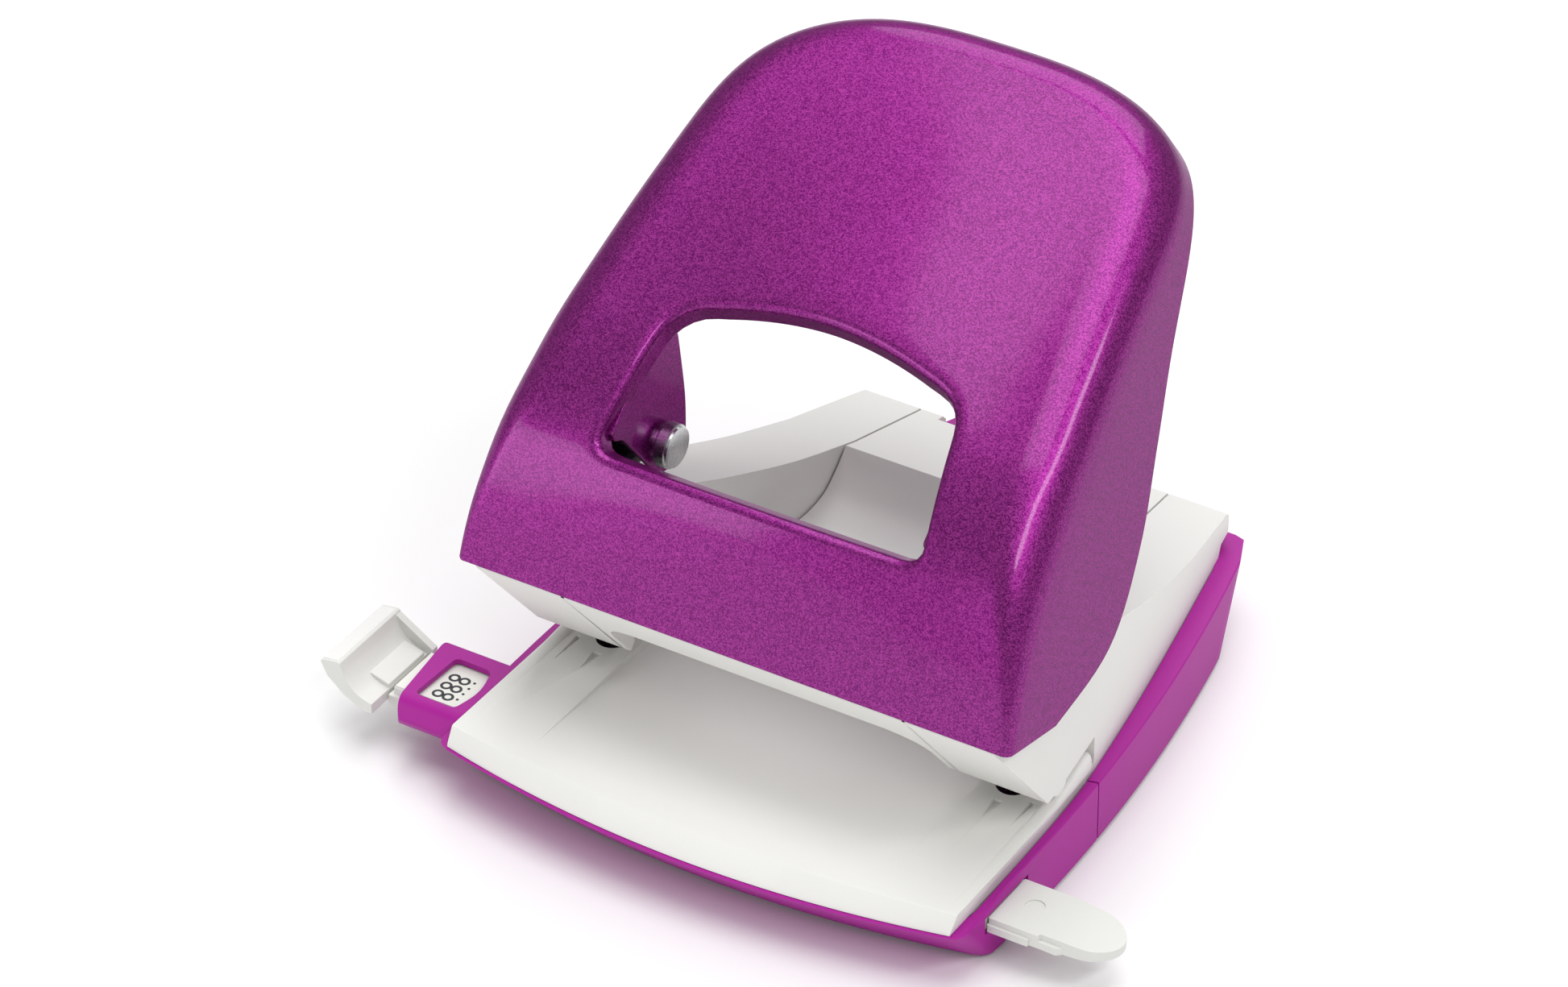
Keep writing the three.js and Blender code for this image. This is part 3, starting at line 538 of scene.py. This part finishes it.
def handle_shell():
    """One sheet: window rim, face, fillet and flanks, then given its thickness."""
    columns = handle_columns(30, 34)
    per_side = 56
    rim_half = window_outline(RIM_RADIUS, per_side)
    edge_half = window_outline(0.0, per_side)
    # Outer edge of the face inside its fillet, from the bottom middle round the right side to the top.
    right = [c for c in reversed(columns) if c["u"] > 1e-6] + [columns[len(columns) // 2]]
    inset = []
    for c in right:
        fillet = fillet_at(c["v"])
        inset.append(Vector((c["u"] + c["inward"].x * fillet, c["v"] + c["inward"].y * fillet)))
    inset[0].y = 0.0
    bottom_count = 14
    bottom = [Vector((inset[0].x * i / bottom_count, 0.0)) for i in range(bottom_count)]
    outer = bottom + inset
    # Window points are matched to outer points by angle about the window's middle.
    middle = Vector((0, sum(WINDOW_V) / 2 + 4))

    def swing(p):
        return math.atan2(p.x, -(p.y - middle.y))

    def match(line, angle):
        for a, b in zip(line, line[1:]):
            ga, gb = swing(a), swing(b)
            if ga <= angle <= gb:
                return a.lerp(b, (angle - ga) / max(1e-9, gb - ga))
        return line[-1].copy() if angle > swing(line[-1]) else line[0].copy()

    rim = [match(rim_half, swing(p)) for p in outer]
    edge = [match(edge_half, swing(p)) for p in outer]
    rim[0].x = rim[-1].x = edge[0].x = edge[-1].x = 0.0

    def sunk(flat, depth):
        p, inside = face_at(flat.y), face_normal(flat.y)
        sunk_by = depth - crown(flat.x, flat.y)
        return (flat.x, p.x + inside.x * sunk_by, p.y + inside.y * sunk_by)

    rows = []
    for k, outer_point in enumerate(outer):
        across = rim[k] - edge[k]
        row = [sunk(edge[k] - across * 0.12, RIM_RADIUS + RIM_DROP),
               sunk(edge[k] - across * 0.06, RIM_RADIUS + RIM_DROP / 2)]
        for a in (math.pi / 2 * j / 6 for j in range(7)):
            row.append(sunk(edge[k] + across * (1 - math.cos(a)), RIM_RADIUS * (1 - math.sin(a))))
        row += [sunk(rim[k].lerp(outer_point, j / 14), 0.0) for j in range(1, 15)]
        rows.append(row)
    verts, faces = [], []
    width = len(rows[0])
    for side in (1, -1):
        base = len(verts)
        for row in rows:
            verts += [(x * side, y, z) for x, y, z in row]
        for k in range(len(rows) - 1):
            for j in range(width - 1):
                a = base + k * width + j
                faces.append((a, a + 1, a + width + 1, a + width))
    # Fillet and flank along the sides and over the top.
    base = len(verts)
    for c in columns:
        fillet = fillet_at(c["v"])
        row = [handle_point(c, fillet * (1 - math.sin(a)), fillet * (1 - math.cos(a)))
               for a in (math.pi / 2 * j / 8 for j in range(9))]
        if c["v"] == 0.0:
            row[0] = (math.copysign(abs(inset[0].x), c["u"]), face_at(0).x, face_at(0).y)
        row += [handle_point(c, 0.0, lerp(fillet, c["depth"], t)) for t in (0.2, 0.4, 0.6, 0.8, 1.0)]
        verts += row
    strip = len(row)
    for k in range(len(columns) - 1):
        for j in range(strip - 1):
            a = base + k * strip + j
            faces.append((a, a + strip, a + strip + 1, a + 1))
    made = place("handle_sheet", verts, faces, LACQUER, "handle", 60)
    work = bmesh.new()
    work.from_mesh(made.data)
    bmesh.ops.remove_doubles(work, verts=work.verts, dist=0.00002)
    bmesh.ops.recalc_face_normals(work, faces=work.faces)
    highest = max(work.faces, key=lambda f: f.calc_center_median().z)
    if highest.normal.z < 0:
        bmesh.ops.reverse_faces(work, faces=work.faces)
    work.to_mesh(made.data)
    work.free()
    made.data.polygons.foreach_set("use_smooth", [True] * len(made.data.polygons))
    sheet = made.modifiers.new("sheet", "SOLIDIFY")
    sheet.thickness = SHEET * MM
    sheet.offset = -1.0
    sheet.use_even_offset = True
    bevel(made, 0.32, 2, 50.0)
    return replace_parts(made, "handle_shell")


def window_lugs():
    """Plates turned down inside the window, each with a round end for the press pin."""
    outline = [(-14.4, 68.6), (-13.6, 66.6), (-11.2, 65.8), (-1.6, 53.8), (0.4, 51.7), (4.6, 51.3),
               (8.7, 54.6), (8.8, 63), (7.4, 72), (6.6, 77), (5.2, 81.6), (2.8, 83.6), (-5, 77.6)]
    corners = [0.6, 1.2, 1.4, 3, 2, 3, 3, 4, 4, 4, 2, 1, 1]
    for word, side in SIDES:
        x = sorted((side * 30.0, side * 31.3))
        made = prism_x(rounded(outline, corners, 5), *x)
        made.piece(f"window_lug_{word}", LACQUER, "handle", "handle_paint", 0.3, 2, 40)


def hinge_bosses():
    """Collars inside the flanks, round the axle's ends and the press pins' ends."""
    for word, side in SIDES:
        for name, centre, outer_r, inner_r, x0, x1 in (
                ("hinge_boss", HINGE, 4.2, 3.2, 47.4, 51.2), ("pin_boss", PRESS_PIN, 4.4, 3.15, 46.2, 49.6)):
            profile = [(inner_r, side * x0), (outer_r - 0.3, side * x0), (outer_r, side * (x0 + 0.3)),
                       (outer_r, side * x1), (inner_r, side * x1), (inner_r, side * x0)]
            verts, faces = turned(profile, centre)
            place(f"{name}_{word}", verts, faces, LACQUER, "handle", 40)


def press_pins():
    """Round pins with a flat chamfered head, seen through the window."""
    profile = [(0, 26.35), (3.3, 26.35), (3.65, 26.5), (3.75, 26.9), (4.0, 27.1), (4.05, 28.8),
               (3.9, 29.05), (3.0, 29.4), (3.0, 47.8), (2.6, 48.1), (0, 48.1)]
    for word, side in SIDES:
        verts, faces = turned([(r, side * x) for r, x in profile], PRESS_PIN, 64)
        made = place(f"press_pin_head_{word}", verts, faces, BRIGHT_STEEL, "handle", 30)
        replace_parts(made, f"press_pin_{word}")


handle_shell()
window_lugs()
hinge_bosses()
press_pins()


# ------------------------------------------------------------------ purple base
BASE_FLOOR = (1.02, 2.8)     # underside and inner floor of the purple base
BASE_WALL = 2.0
SEAM = (8.82, 9.18)          # y on each side of the seam between the base's front and the tray
LABEL_TOP = 11.5             # the printed card rides on a rib of the guide strip
FRAME_Y = (-33.8, -14.6)     # window frame for the guide
FRAME_TOP = 12.9
FRAME_WINDOW = [(-61.2, -30.0), (-53.0, -30.2), (-51.6, -24.2), (-53.2, -18.0), (-60.6, -17.8)]


def base_half(y):
    """Half width of the purple base."""
    return 52 - 8.4 * (max(0.0, y + 8) / 77) ** 1.92


def body_half(y):
    """Half width of the white body behind the slot."""
    return 50.75 - 14.3 * (max(0.0, y + 7.4) / 91) ** 1.27


def base_top(y):
    """Height of the purple base's rim."""
    return 10.6 + 1.8 * ramp(y, -34, -22) + 1.8 * ramp(y, -20, 84)


def base_outline(front_y, front_corner, rear_y, z, grow):
    """Right half of the outline, front middle to rear middle. A hollow also follows the body's side."""
    def half(y):
        return base_half(y) if grow >= 0 else min(base_half(y) + grow, body_half(y) + 0.2)

    bow = front_corner - front_y
    points = []
    for i in range(17):
        x = i / 16 * (half(front_corner) - 3)
        points.append((x, front_y - grow + bow * (x / half(front_corner)) ** 2, z(front_y)))
    end = half(front_corner)
    before = Vector((end - 3, front_corner - grow - 0.6))
    corner = Vector((end - 0.4, front_corner - grow - 0.3))
    after = Vector((end, front_corner + 2.6))
    for t in (i / 6 for i in range(1, 6)):
        p = before.lerp(corner, t).lerp(corner.lerp(after, t), t)
        points.append((p.x, p.y, z(front_y)))
    for i in range(1, 27):
        y = lerp(front_corner + 1, rear_y, i / 27.5)
        points.append((half(y), y, z(y)))
    points.append((half(rear_y) - 1.0, rear_y - 0.6 + grow, z(rear_y)))
    points.append((half(rear_y) - 3.0, rear_y + grow, z(rear_y)))
    points += [(half(rear_y) * t, rear_y + grow + 0.5 * (1 - t), z(rear_y)) for t in (0.6, 0.3, 0.0)]
    return points


def full_ring(half):
    """A right half of a ring, then its left half back again."""
    return [*half, *[(-x, y, z) for x, y, z in reversed(half) if x > 1e-6]]


def base_body(grow, floor, above):
    """The base's full shape, or with a negative grow its hollow."""
    low = full_ring(base_outline(-34.9, -28.4, 70.4, lambda y: floor, grow))
    mid_low = full_ring(base_outline(-35.8, -29.2, 71.4, lambda y: floor + 0.9, grow))
    high = full_ring(base_outline(-44.1, -37.5, 83.1, lambda y: base_top(y) + above, grow))
    return loft([low, mid_low, high])


def base_shell():
    """Open tub with its outer top edge rounded along both sides."""
    def on_rim(p):
        return abs(p.x) > base_half(p.y) - 0.3 and p.z > base_top(p.y) - 0.3 and p.y > -34

    shell = base_body(0, BASE_FLOOR[0], 0).soften(lambda a, b: on_rim(a) and on_rim(b), 1.5)
    return shell.cut(base_body(-BASE_WALL, BASE_FLOOR[1], 6))


def guide_frame():
    """Purple window frame the guide runs through, with a sloping front."""
    front, rear = FRAME_Y
    section = rounded([(front, 9.2), (front + 1.9, FRAME_TOP), (rear, FRAME_TOP), (rear, 6.2),
                       (front + 2.2, 6.2)], [0.7, 1.5, 0.6, 0.6, 1.6], 5)
    plan = rounded([(-62.8, front), (-49.8, front), (-49.8, rear), (-65.1, rear)], [1.6, 0, 0, 1.6], 6)
    frame_block = prism_x(section, -66, -49.9).keep(prism_z(plan, 0, 40))
    opening = prism_z(rounded(FRAME_WINDOW, [1.2, 1.2, 5.0, 1.2, 1.2], 5), 9.0, FAR)
    return frame_block.cut(opening)


def base_front():
    """Front of the base with the guide's frame, and the channels for the guide and its label."""
    shell = base_shell().keep(block((-FAR, FAR), (-FAR, SEAM[0]), (-FAR, FAR)))
    shell.join(guide_frame())
    channels = [block(x, (-29.8, -15.6), (6.7, 10.1)) for x in ((-FAR, -45), (45, FAR))]
    shell.cut(*channels, block((-FAR, -45), (-29.0, -16.6), (8, LABEL_TOP + 0.35)))
    made = shell.piece("base_front", PURPLE, "frame", "base_plastic", 0.55, 3, 28)
    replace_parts(made, "base_front_shell")


def chip_tray():
    """Rear of the base, closed by a low front wall, with the latch tongue at its back."""
    tray = base_shell().keep(block((-FAR, FAR), (SEAM[1], FAR), (-FAR, FAR)))
    tray.join(block((-47.5, 47.5), (SEAM[1], 10.9), (1.2, 6.2)))
    made = tray.piece("chip_tray_body", PURPLE, "tray", "base_plastic", 0.55, 3, 28)
    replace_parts(made, "chip_tray")
    tongue = prism_z(rounded(mirrored([(18.2, 83.3), (20, 78.9)]), 0.5, 3), 18.7, 20.1)
    tongue.join(block((-17.8, 17.8), (82.0, 83.1), (11, 19.6)))
    tongue.piece("tray_latch", PURPLE, "tray", "base_plastic", 0.3, 2, 28)


# ------------------------------------------------------------------ paper table
TABLE_HALF = 49.85
HOLE_RADIUS = 2.95           # punching holes in the table
DIE_SEAT = (4.5, 13.3)       # radius and roof of the seat for each die


def table_front(x):
    """The table's bowed front edge."""
    return -38.8 + 3.6 * (x / TABLE_HALF) ** 2


def table_mark(x, front, rear, depth, half):
    """Cutter for a wedge-shaped mark that deepens and widens to the rear."""
    tip, above = 13.95, 14.5
    low = [(x, front, tip), (x - half, rear, depth), (x + half, rear, depth), (x + 0.05, front, tip)]
    half += 0.3
    high = [(x, front, above), (x - half, rear, above), (x + half, rear, above), (x + 0.1, front, above)]
    return low, high


def paper_table():
    """Table with a sloping front edge, a shallow middle, die seats and two pairs of marks."""
    steps = [TABLE_HALF * i / 16 for i in range(17)]
    rear = [(TABLE_HALF - 0.3, -4), (48.6, THROAT_Y), (0, THROAT_Y)]

    def ring(forward, inset, z):
        front = [(x * (1 - inset), table_front(x) - forward * (1 - 0.5 * (x / TABLE_HALF) ** 2))
                 for x in steps]
        return full_ring([(x, y, z) for x, y in front + rear])

    slab = loft([ring(4.5, 0.005, 10.7), ring(4.1, 0.004, 11.3), ring(0.5, 0.0, 13.75),
                 ring(0.0, 0.0, 13.85), ring(-0.6, 0.0, 13.9)])
    underside = full_ring([(x * 0.93, table_front(x) + 1, 0) for x in steps]
                          + [(46, THROAT_Y + 1, 0), (0, THROAT_Y + 1, 0)])
    slab.cut(loft([[(x, y, z) for x, y, _ in underside] for z in (9, 10.8)]))
    slab.cut(block((-FAR, 25), (-29.2, -16.4), (0, 11.95)))
    slab.cut(prism_x([(-32, 13.9), (THROAT_Y + 1, 11.8), (THROAT_Y + 1, 20), (-32, 20)], -34.9, 34.9))
    for side in (1, -1):
        slab.cut(prism_z(circle(side * PUNCH_X, 0, DIE_SEAT[0]), 0, DIE_SEAT[1]))
        slab.cut(prism_z(circle(side * PUNCH_X, 0, HOLE_RADIUS), 0, FAR))
        for mark in (table_mark(45.3, -11.2, -2.6, 13.1, 0.3), table_mark(40.0, -10.8, -5.0, 13.0, 0.7)):
            slab.cut(loft([[(side * x, y, z) for x, y, z in ring_points] for ring_points in mark]))
    made = slab.piece("table_top", WHITE, "frame", "body_plastic", 0.25, 2, 24)
    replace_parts(made, "paper_table")


def table_beads():
    """Raised bead along each side of the table, climbing to a rounded rear end."""
    foot, points = 13.6, 9
    line = [(47.6, -34.2, 13.9, 0.5), (48.1, -20, 13.96, 1.3), (48.3, -8, 14.2, 1.3), (48.3, -1, 15.0, 1.25),
            (48.1, 5, 16.2, 1.2), (47.9, 9, 17.0, 1.2), (47.8, 10.6, 17.0, 1.2), (47.8, 11.4, 16.5, 1.0)]
    for word, side in SIDES:
        verts = []
        for x, y, top, wide in line:
            verts += [(side * (x + wide * math.cos(a)), y, foot + (top - foot) * math.sin(a) ** 0.6)
                      for a in (math.pi * k / (points - 1) for k in range(points))]
        faces = closed_faces(points, len(line))
        made = place(f"table_bead_{word}", verts, faces, WHITE, "frame", 50)


base_front()
chip_tray()
paper_table()
table_beads()


# ------------------------------------------------------------------ white body
LIP_FRONT = -25.5
FRONT_TOP = (LIP_FRONT, 40.7)
FRONT_FOOT = (-7.2, 18.85)
SHOULDER = 2.4               # soft outer edge of the arms
BODY_WALL = 1.8
ARM_TOP = [(81.2, 19.3), (80, 20.5), (60, 24.4), (43, 29.4), (25, 36.2), (17, 39.6), (11, 41.8), (5, 42.3),
           (-1, 41.25)]


def arm_inner(y):
    """Inner side of the arms, from the middle."""
    return lerp(33, 25.5, ramp(y, 10, 80))


def half_plan(inner, outer, y0, y1, count=30):
    """Outline seen from above between an inner and an outer side."""
    ys = [lerp(y0, y1, i / count) for i in range(count + 1)]
    return [(outer(y), y) for y in ys] + [(inner(y), y) for y in reversed(ys)]


def body_side(side):
    """One leg with its rear arm, hollow from below."""
    middle_to_side = sorted((0, side * 60))
    crest = [tuple(p) for p in spline(ARM_TOP[2:], 5)]
    profile = [(LIP_FRONT, 41.0), FRONT_TOP, FRONT_FOOT, (THROAT_Y, SLOT_TOP),
               (THROAT_Y, 11.25), (45, 11.25), (46.5, 9.5), (72.3, 9.5), (76.9, 16.0), (80.9, 16.0),
               *ARM_TOP[:2], *crest, (-8, 41.0)]
    hollow = [(-22.3, 39), (-5.0, 21.1), (14, 21.2), (14, 0), (79, 0), (79, 18.3), (60, 22.3),
              (43, 27.3), (25, 34.2), (15, 38.6), (10, 39.3)]

    def plan(inner, outer, y0, y1):
        points = half_plan(inner, outer, y0, y1)
        return prism_z([(side * x, y) for x, y in points], -20, FAR)

    def on_shoulder(p):
        return abs(p.x) > 35.2 and p.y > 2 and p.z > 17 and abs(abs(p.x) - body_half(p.y)) < 0.2

    shell = prism_x(profile, *middle_to_side)
    shell.keep(plan(arm_inner, body_half, LIP_FRONT - 1, 90))
    shell.soften(lambda a, b: on_shoulder(a) and on_shoulder(b), SHOULDER)
    shell.cut(prism_x(hollow, *middle_to_side).keep(
        plan(lambda y: arm_inner(y) + BODY_WALL, lambda y: body_half(y) - 2, -24, 79.4)))
    inner_x = arm_inner(0) + BODY_WALL
    shell.cut(block(sorted((side * inner_x, side * 47.6)), (-19.3, 9), (36, FAR)))
    shell.cut(prism_z(circle(side * PUNCH_X, 0, 3.15), 15, 25))
    return shell


def slope_at(t, behind=0.0):
    """Point (y, z) down the sloping front wall, moved square into the wall."""
    top, foot = Vector(FRONT_TOP), Vector(FRONT_FOOT)
    along = (foot - top).normalized()
    return tuple(top.lerp(foot, t) + Vector((-along.y, along.x)) * behind)


def front_wall():
    """Sloping wall between the legs, with the wide arch cut up into it."""
    wall = prism_x([(LIP_FRONT, 41.0), FRONT_TOP, FRONT_FOOT, slope_at(0.99, 2.0), slope_at(0.04, 2.0),
                    (LIP_FRONT + 2.6, 41.0)], -33.6, 33.6)
    length = (Vector(FRONT_FOOT) - Vector(FRONT_TOP)).length
    outline = rounded([(x, t * length) for x, t in [(31.6, 1.4), (31.6, 0.45), (-31.6, 0.45), (-31.6, 1.4)]],
                      [0, 8.5, 8.5, 0], 12)
    wall.cut(loft([[(x, *slope_at(d / length, behind)) for x, d in outline] for behind in (-4.0, 6.0)]))
    return wall


def housing():
    """Both legs and arms with the wall between them, and a half-round boss under each leg."""
    shell = body_side(1).join(body_side(-1), front_wall())
    made = shell.piece("body_shell", WHITE, "frame", "body_plastic", 0.5, 3, 28)
    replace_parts(made, "housing_shell")
    for word, side in SIDES:
        verts, faces = turned([(0, side * 46.5), (2.6, side * 46.5), (2.6, side * 49.9), (2.3, side * 50.3),
                               (0, side * 50.3)], (-2.5, 19.9), 40)
        place(f"leg_boss_{word}", verts, faces, WHITE, "frame", 40)


def rear_deck():
    """Scooped panel between the arms, with a recess for the latch at its rear."""
    def half(y):
        return arm_inner(y) - 0.4

    scoop = [tuple(p) for p in spline([(57.4, 25.1), (54.6, 21.6), (51, 18.3), (46, 16.8), (40, 16.6)], 5)]
    front = [tuple(p) for p in spline([(24, 16.6), (20, 17.2), (17.6, 19.4), (16.4, 24.6)], 4)]
    profile = [(12.6, 11.1), (12.6, 24.9), *reversed(front), *reversed(scoop), (60, 24.4), (80, 20.5),
               (81.2, 19.3), (80.7, 15.7), (79, 15.7), (79, 18.5), (60, 22.4), (58.6, 22.8), (53.4, 16.6),
               (45, 14.8), (23, 14.8), (16, 16.4), (14.2, 23), (14.2, 11.1)]
    deck = prism_x(profile, -40, 40)
    deck.keep(prism_z(mirrored([(half(0), 0), (half(10), 10), (half(80), 80), (half(80), 90)]), 0, FAR))
    deck.cut(block((-20.8, 20.8), (78.3, FAR), (18.3, FAR)))
    made = deck.piece("rear_deck_panel", WHITE, "frame", "body_plastic", 0.45, 3, 26)
    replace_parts(made, "rear_deck")


housing()
rear_deck()


# ------------------------------------------------------------------ format guide
def format_guide():
    """Guide strip with the rib that carries its printed card."""
    bar = block((-67.3, 51.5), (-29.3, -16.1), (7.05, 9.75))
    bar.join(block((-66.5, 20), (-28.6, -17), (9.5, LABEL_TOP - 0.25)))
    made = bar.piece("guide_strip", WHITE_GUIDE, "guide", "guide_plastic", 0.2, 2, 30)
    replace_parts(made, "guide_bar")
    label = block((-66.3, 19.6), (-28.4, -17.2), (LABEL_TOP - 0.25, LABEL_TOP)).piece(
        "scale_label", LABEL, "guide", "scale_print", 0.05, 1, 30)
    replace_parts(label, "format_scale")


def figures():
    """Three figure eights and a row of dots on the label, read from the left side."""
    sides = 28
    for k, y in enumerate((-21.3, -23.9, -26.5)):
        verts, faces = [], []
        for x in (-58.75, -56.7):
            base = len(verts)
            for radius in (1.12, 0.62):
                for z in (LABEL_TOP - 0.02, LABEL_TOP + 0.04):
                    verts += [(x + radius * 0.98 * math.cos(a), y + radius * 0.95 * math.sin(a), z)
                              for a in (2 * math.pi * i / sides for i in range(sides))]
            for i in range(sides):
                j = (i + 1) % sides
                outer_low, outer_high, inner_low, inner_high = (base + n * sides for n in range(4))
                faces += [(outer_low + i, outer_low + j, outer_high + j, outer_high + i),
                          (outer_high + i, outer_high + j, inner_high + j, inner_high + i),
                          (inner_high + i, inner_high + j, inner_low + j, inner_low + i),
                          (inner_low + i, inner_low + j, outer_low + j, outer_low + i)]
        place(f"figure_eight_{k + 1}", verts, faces, INK, "guide")
    for k, y in enumerate((-20.9, -22.7, -24.5, -26.3)):
        dot = prism_z(circle(-54.9, y, 0.26, 20), LABEL_TOP - 0.05, LABEL_TOP + 0.06)
        dot.piece(f"scale_dot_{k + 1}", INK, "guide", "scale_print", 0.0)


def paper_stop():
    """End stop of the guide: grained outer band, hollow inner face and the foot that takes the bar."""
    inner = [tuple(p) for p in spline([(-74.2, 16.3), (-73.4, 14.2), (-72.1, 12.3), (-70.4, 11.0),
                                       (-68.0, 10.2)], 5)]
    section = [(-78.1, 15.5), (-77.8, 16.0), (-74.6, 16.5), *inner, (-67.75, 10.1), (-67.75, 8.1),
               (-69.6, 8.1), (-73.6, 10.1), (-76.8, 12.9)]
    stop = prism_y(section, -33.7, -14.9)
    web = [(-74.7, 16.45), (-66.6, 11.3), (-66.6, 9.9), (-69.0, 8.4), (-74.0, 11.0)]
    stop.join(prism_y(web, -16.4, -14.9))
    made = stop.piece("stop_body", WHITE_GUIDE, "guide", "guide_plastic", 0.35, 3, 24)
    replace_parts(made, "paper_stop")
    band = prism_y([(-78.15, 15.45), (-77.75, 16.15), (-74.75, 16.56), (-74.7, 16.3), (-77.7, 15.7)],
                   -33.2, -15.4)
    band.piece("stop_grip_band", WHITE_TEXTURED, "guide", "guide_plastic", 0.08, 1, 30)
    ledge = prism_y([(-72.4, 11.6), (-71.6, 12.1), (-67.8, 11.0), (-67.8, 9.9), (-71, 10.6)], -28.2, -17.2)
    ledge.piece("stop_ledge", WHITE_GUIDE, "guide", "guide_plastic", 0.2, 2, 30)


def end_tab():
    """Short rounded tab on the bar's right end, with a ledge along it and a round dimple."""
    plate = [(51.9, -28.7), (61.4, -28.7), (61.4, -28.0), (66, -28.0), (70.4, -27.5), (73.2, -25.2),
             (74.2, -22.6), (73.4, -19.8), (71, -17.7), (68, -16.9), (64, -16.9), (64, -16.5), (51.9, -16.5)]
    tab = prism_z(rounded(plate, [0.3, 0.4, 0.3, 2, 2, 2, 2, 2, 2, 2, 0.3, 0.3, 0.3], 5), 7.1, 9.7)
    ledge = [(51.9, -29.2), (59.6, -29.2), (59.6, -28.6), (64.8, -28.8), (66.6, -27), (66.6, -18),
             (62, -16.2), (51.9, -16.2)]
    tab.join(prism_z(rounded(ledge, [0.2, 0.2, 0.2, 0.3, 0.3, 0.3, 0.3, 0.2], 3), 7.1, 8.5))
    tab.cut(prism_z(circle(57, -22, 1.75, 40), 9.45, FAR))
    tab.cut(prism_y([(65.2, 9.72), (68.6, 9.45), (74.6, 8.6), (74.6, 12), (65.2, 12)], -40, 0))
    made = tab.piece("tab_body", WHITE_GUIDE, "guide", "guide_plastic", 0.45, 3, 28)
    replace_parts(made, "bar_end_tab")


format_guide()
figures()
paper_stop()
end_tab()


# ------------------------------------------------------------------ steel inside
def helix_spring(word, side):
    """Round-wire return spring, evenly wound."""
    radius, wire, turns, low, high = 4.3, 0.5, 6.0, 36.7, 51.3
    steps, sides = 240, 10
    path = []
    for i in range(steps + 1):
        t = i / steps
        path.append(Vector((side * (PUNCH_X + radius * math.cos(2 * math.pi * turns * t)),
                            radius * math.sin(2 * math.pi * turns * t), lerp(low, high, t))))
    verts = []
    for i, p in enumerate(path):
        along = (path[min(steps, i + 1)] - path[max(0, i - 1)]).normalized()
        out = Vector((p.x - side * PUNCH_X, p.y, 0)).normalized()
        up = along.cross(out)
        verts += [tuple(p + (out * math.cos(a) + up * math.sin(a)) * wire)
                  for a in (2 * math.pi * k / sides for k in range(sides))]
    faces = closed_faces(sides, steps + 1)
    made = place(f"spring_coil_{word}", verts, faces, SPRING, "frame", 60)
    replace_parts(made, f"return_spring_{word}")
    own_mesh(made)


for spring_word, spring_side in SIDES:
    helix_spring(spring_word, spring_side)

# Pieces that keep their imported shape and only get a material.
CAD_FINISHES = {
    "front_mat": RUBBER, "rear_foot_right": RUBBER, "rear_foot_left": RUBBER,
    "steel_base_plate": ZINC, "die_bush_right": BRIGHT_STEEL, "die_bush_left": BRIGHT_STEEL,
    "punch_frame_right": ZINC, "punch_frame_left": ZINC, "frame_screw_right": ZINC, "frame_screw_left": ZINC,
    "hinge_axle": BRIGHT_STEEL, "axle_ring_right": SPRING, "axle_ring_left": SPRING,
    "deck_screw_right": ZINC, "deck_screw_left": ZINC, "pin_ring_right": SPRING, "pin_ring_left": SPRING,
    "punch_right": BRIGHT_STEEL, "punch_left": BRIGHT_STEEL,
    "punch_cap_right": DARK_PLASTIC, "punch_cap_left": DARK_PLASTIC, "detent_spring": SPRING,
}
for cad_name, cad_finish in CAD_FINISHES.items():
    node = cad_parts[cad_name]
    node.data.materials.clear()
    node.data.materials.append(cad_finish)
    node.data.set_sharp_from_angle(angle=math.radians(30))


# ------------------------------------------------------------------ floor, light, camera
def stage_floor():
    floor = bpy.data.meshes.new("floor")
    reach = 3.0
    corners = [(-reach, -reach, 0), (reach, -reach, 0), (reach, reach, 0), (-reach, reach, 0)]
    floor.from_pydata(corners, [], [(0, 1, 2, 3)])
    made = bpy.data.objects.new("floor", floor)
    bpy.context.scene.collection.objects.link(made)
    paper = Finish("floor_paper", Roughness=0.9, Specular_IOR_Level=0.1)
    cloud = paper.place.noise(2.0, 1.0)
    paper.set(Base_Color=cloud.mix(rgb(244, 244, 244), rgb(247, 247, 247)))
    floor.materials.append(paper.material)


LIGHT_AIM = (0, 0, 0.06)     # metres, the middle of the object


def softbox(name, place_at, size, watts):
    lamp = bpy.data.lights.new(name, "AREA")
    lamp.shape = "RECTANGLE"
    lamp.size, lamp.size_y = size
    lamp.energy = watts
    made = bpy.data.objects.new(name, lamp)
    bpy.context.scene.collection.objects.link(made)
    made.location = place_at
    made.rotation_euler = (Vector(LIGHT_AIM) - Vector(place_at)).to_track_quat("-Z", "Y").to_euler()


def light_and_camera():
    world = bpy.data.worlds.new("studio")
    world.use_nodes = True
    sky = world.node_tree.nodes["Background"]
    sky.inputs["Color"].default_value = (1, 1, 1, 1)
    sky.inputs["Strength"].default_value = 0.4
    bpy.context.scene.world = world
    softbox("overhead", (-0.02, 0.1, 1.5), (1.15, 1.3), 12.5)
    softbox("front_left", (-0.95, -1.17, 0.32), (0.8, 0.55), 4.2)
    softbox("back_left", (-0.35, 1.05, 1.05), (0.9, 0.8), 5.5)
    softbox("right_strip", (0.95, -0.35, 1.2), (1.3, 0.16), 8)
    bpy.context.scene.view_settings.view_transform = "Standard"
    camera_data = bpy.data.cameras.new("camera")
    camera = bpy.data.objects.new("camera", camera_data)
    bpy.context.scene.collection.objects.link(camera)
    camera_data.sensor_width = 36.0
    camera_data.lens = 165.6
    camera_data.clip_end = 20.0
    camera.location = Vector((511.4, -843.9, 752.0)) * MM
    aim = Vector((-5.35, 0.18, 57.06)) * MM
    camera.rotation_euler = (aim - camera.location).to_track_quat("-Z", "Y").to_euler()
    bpy.context.scene.camera = camera


stage_floor()
light_and_camera()
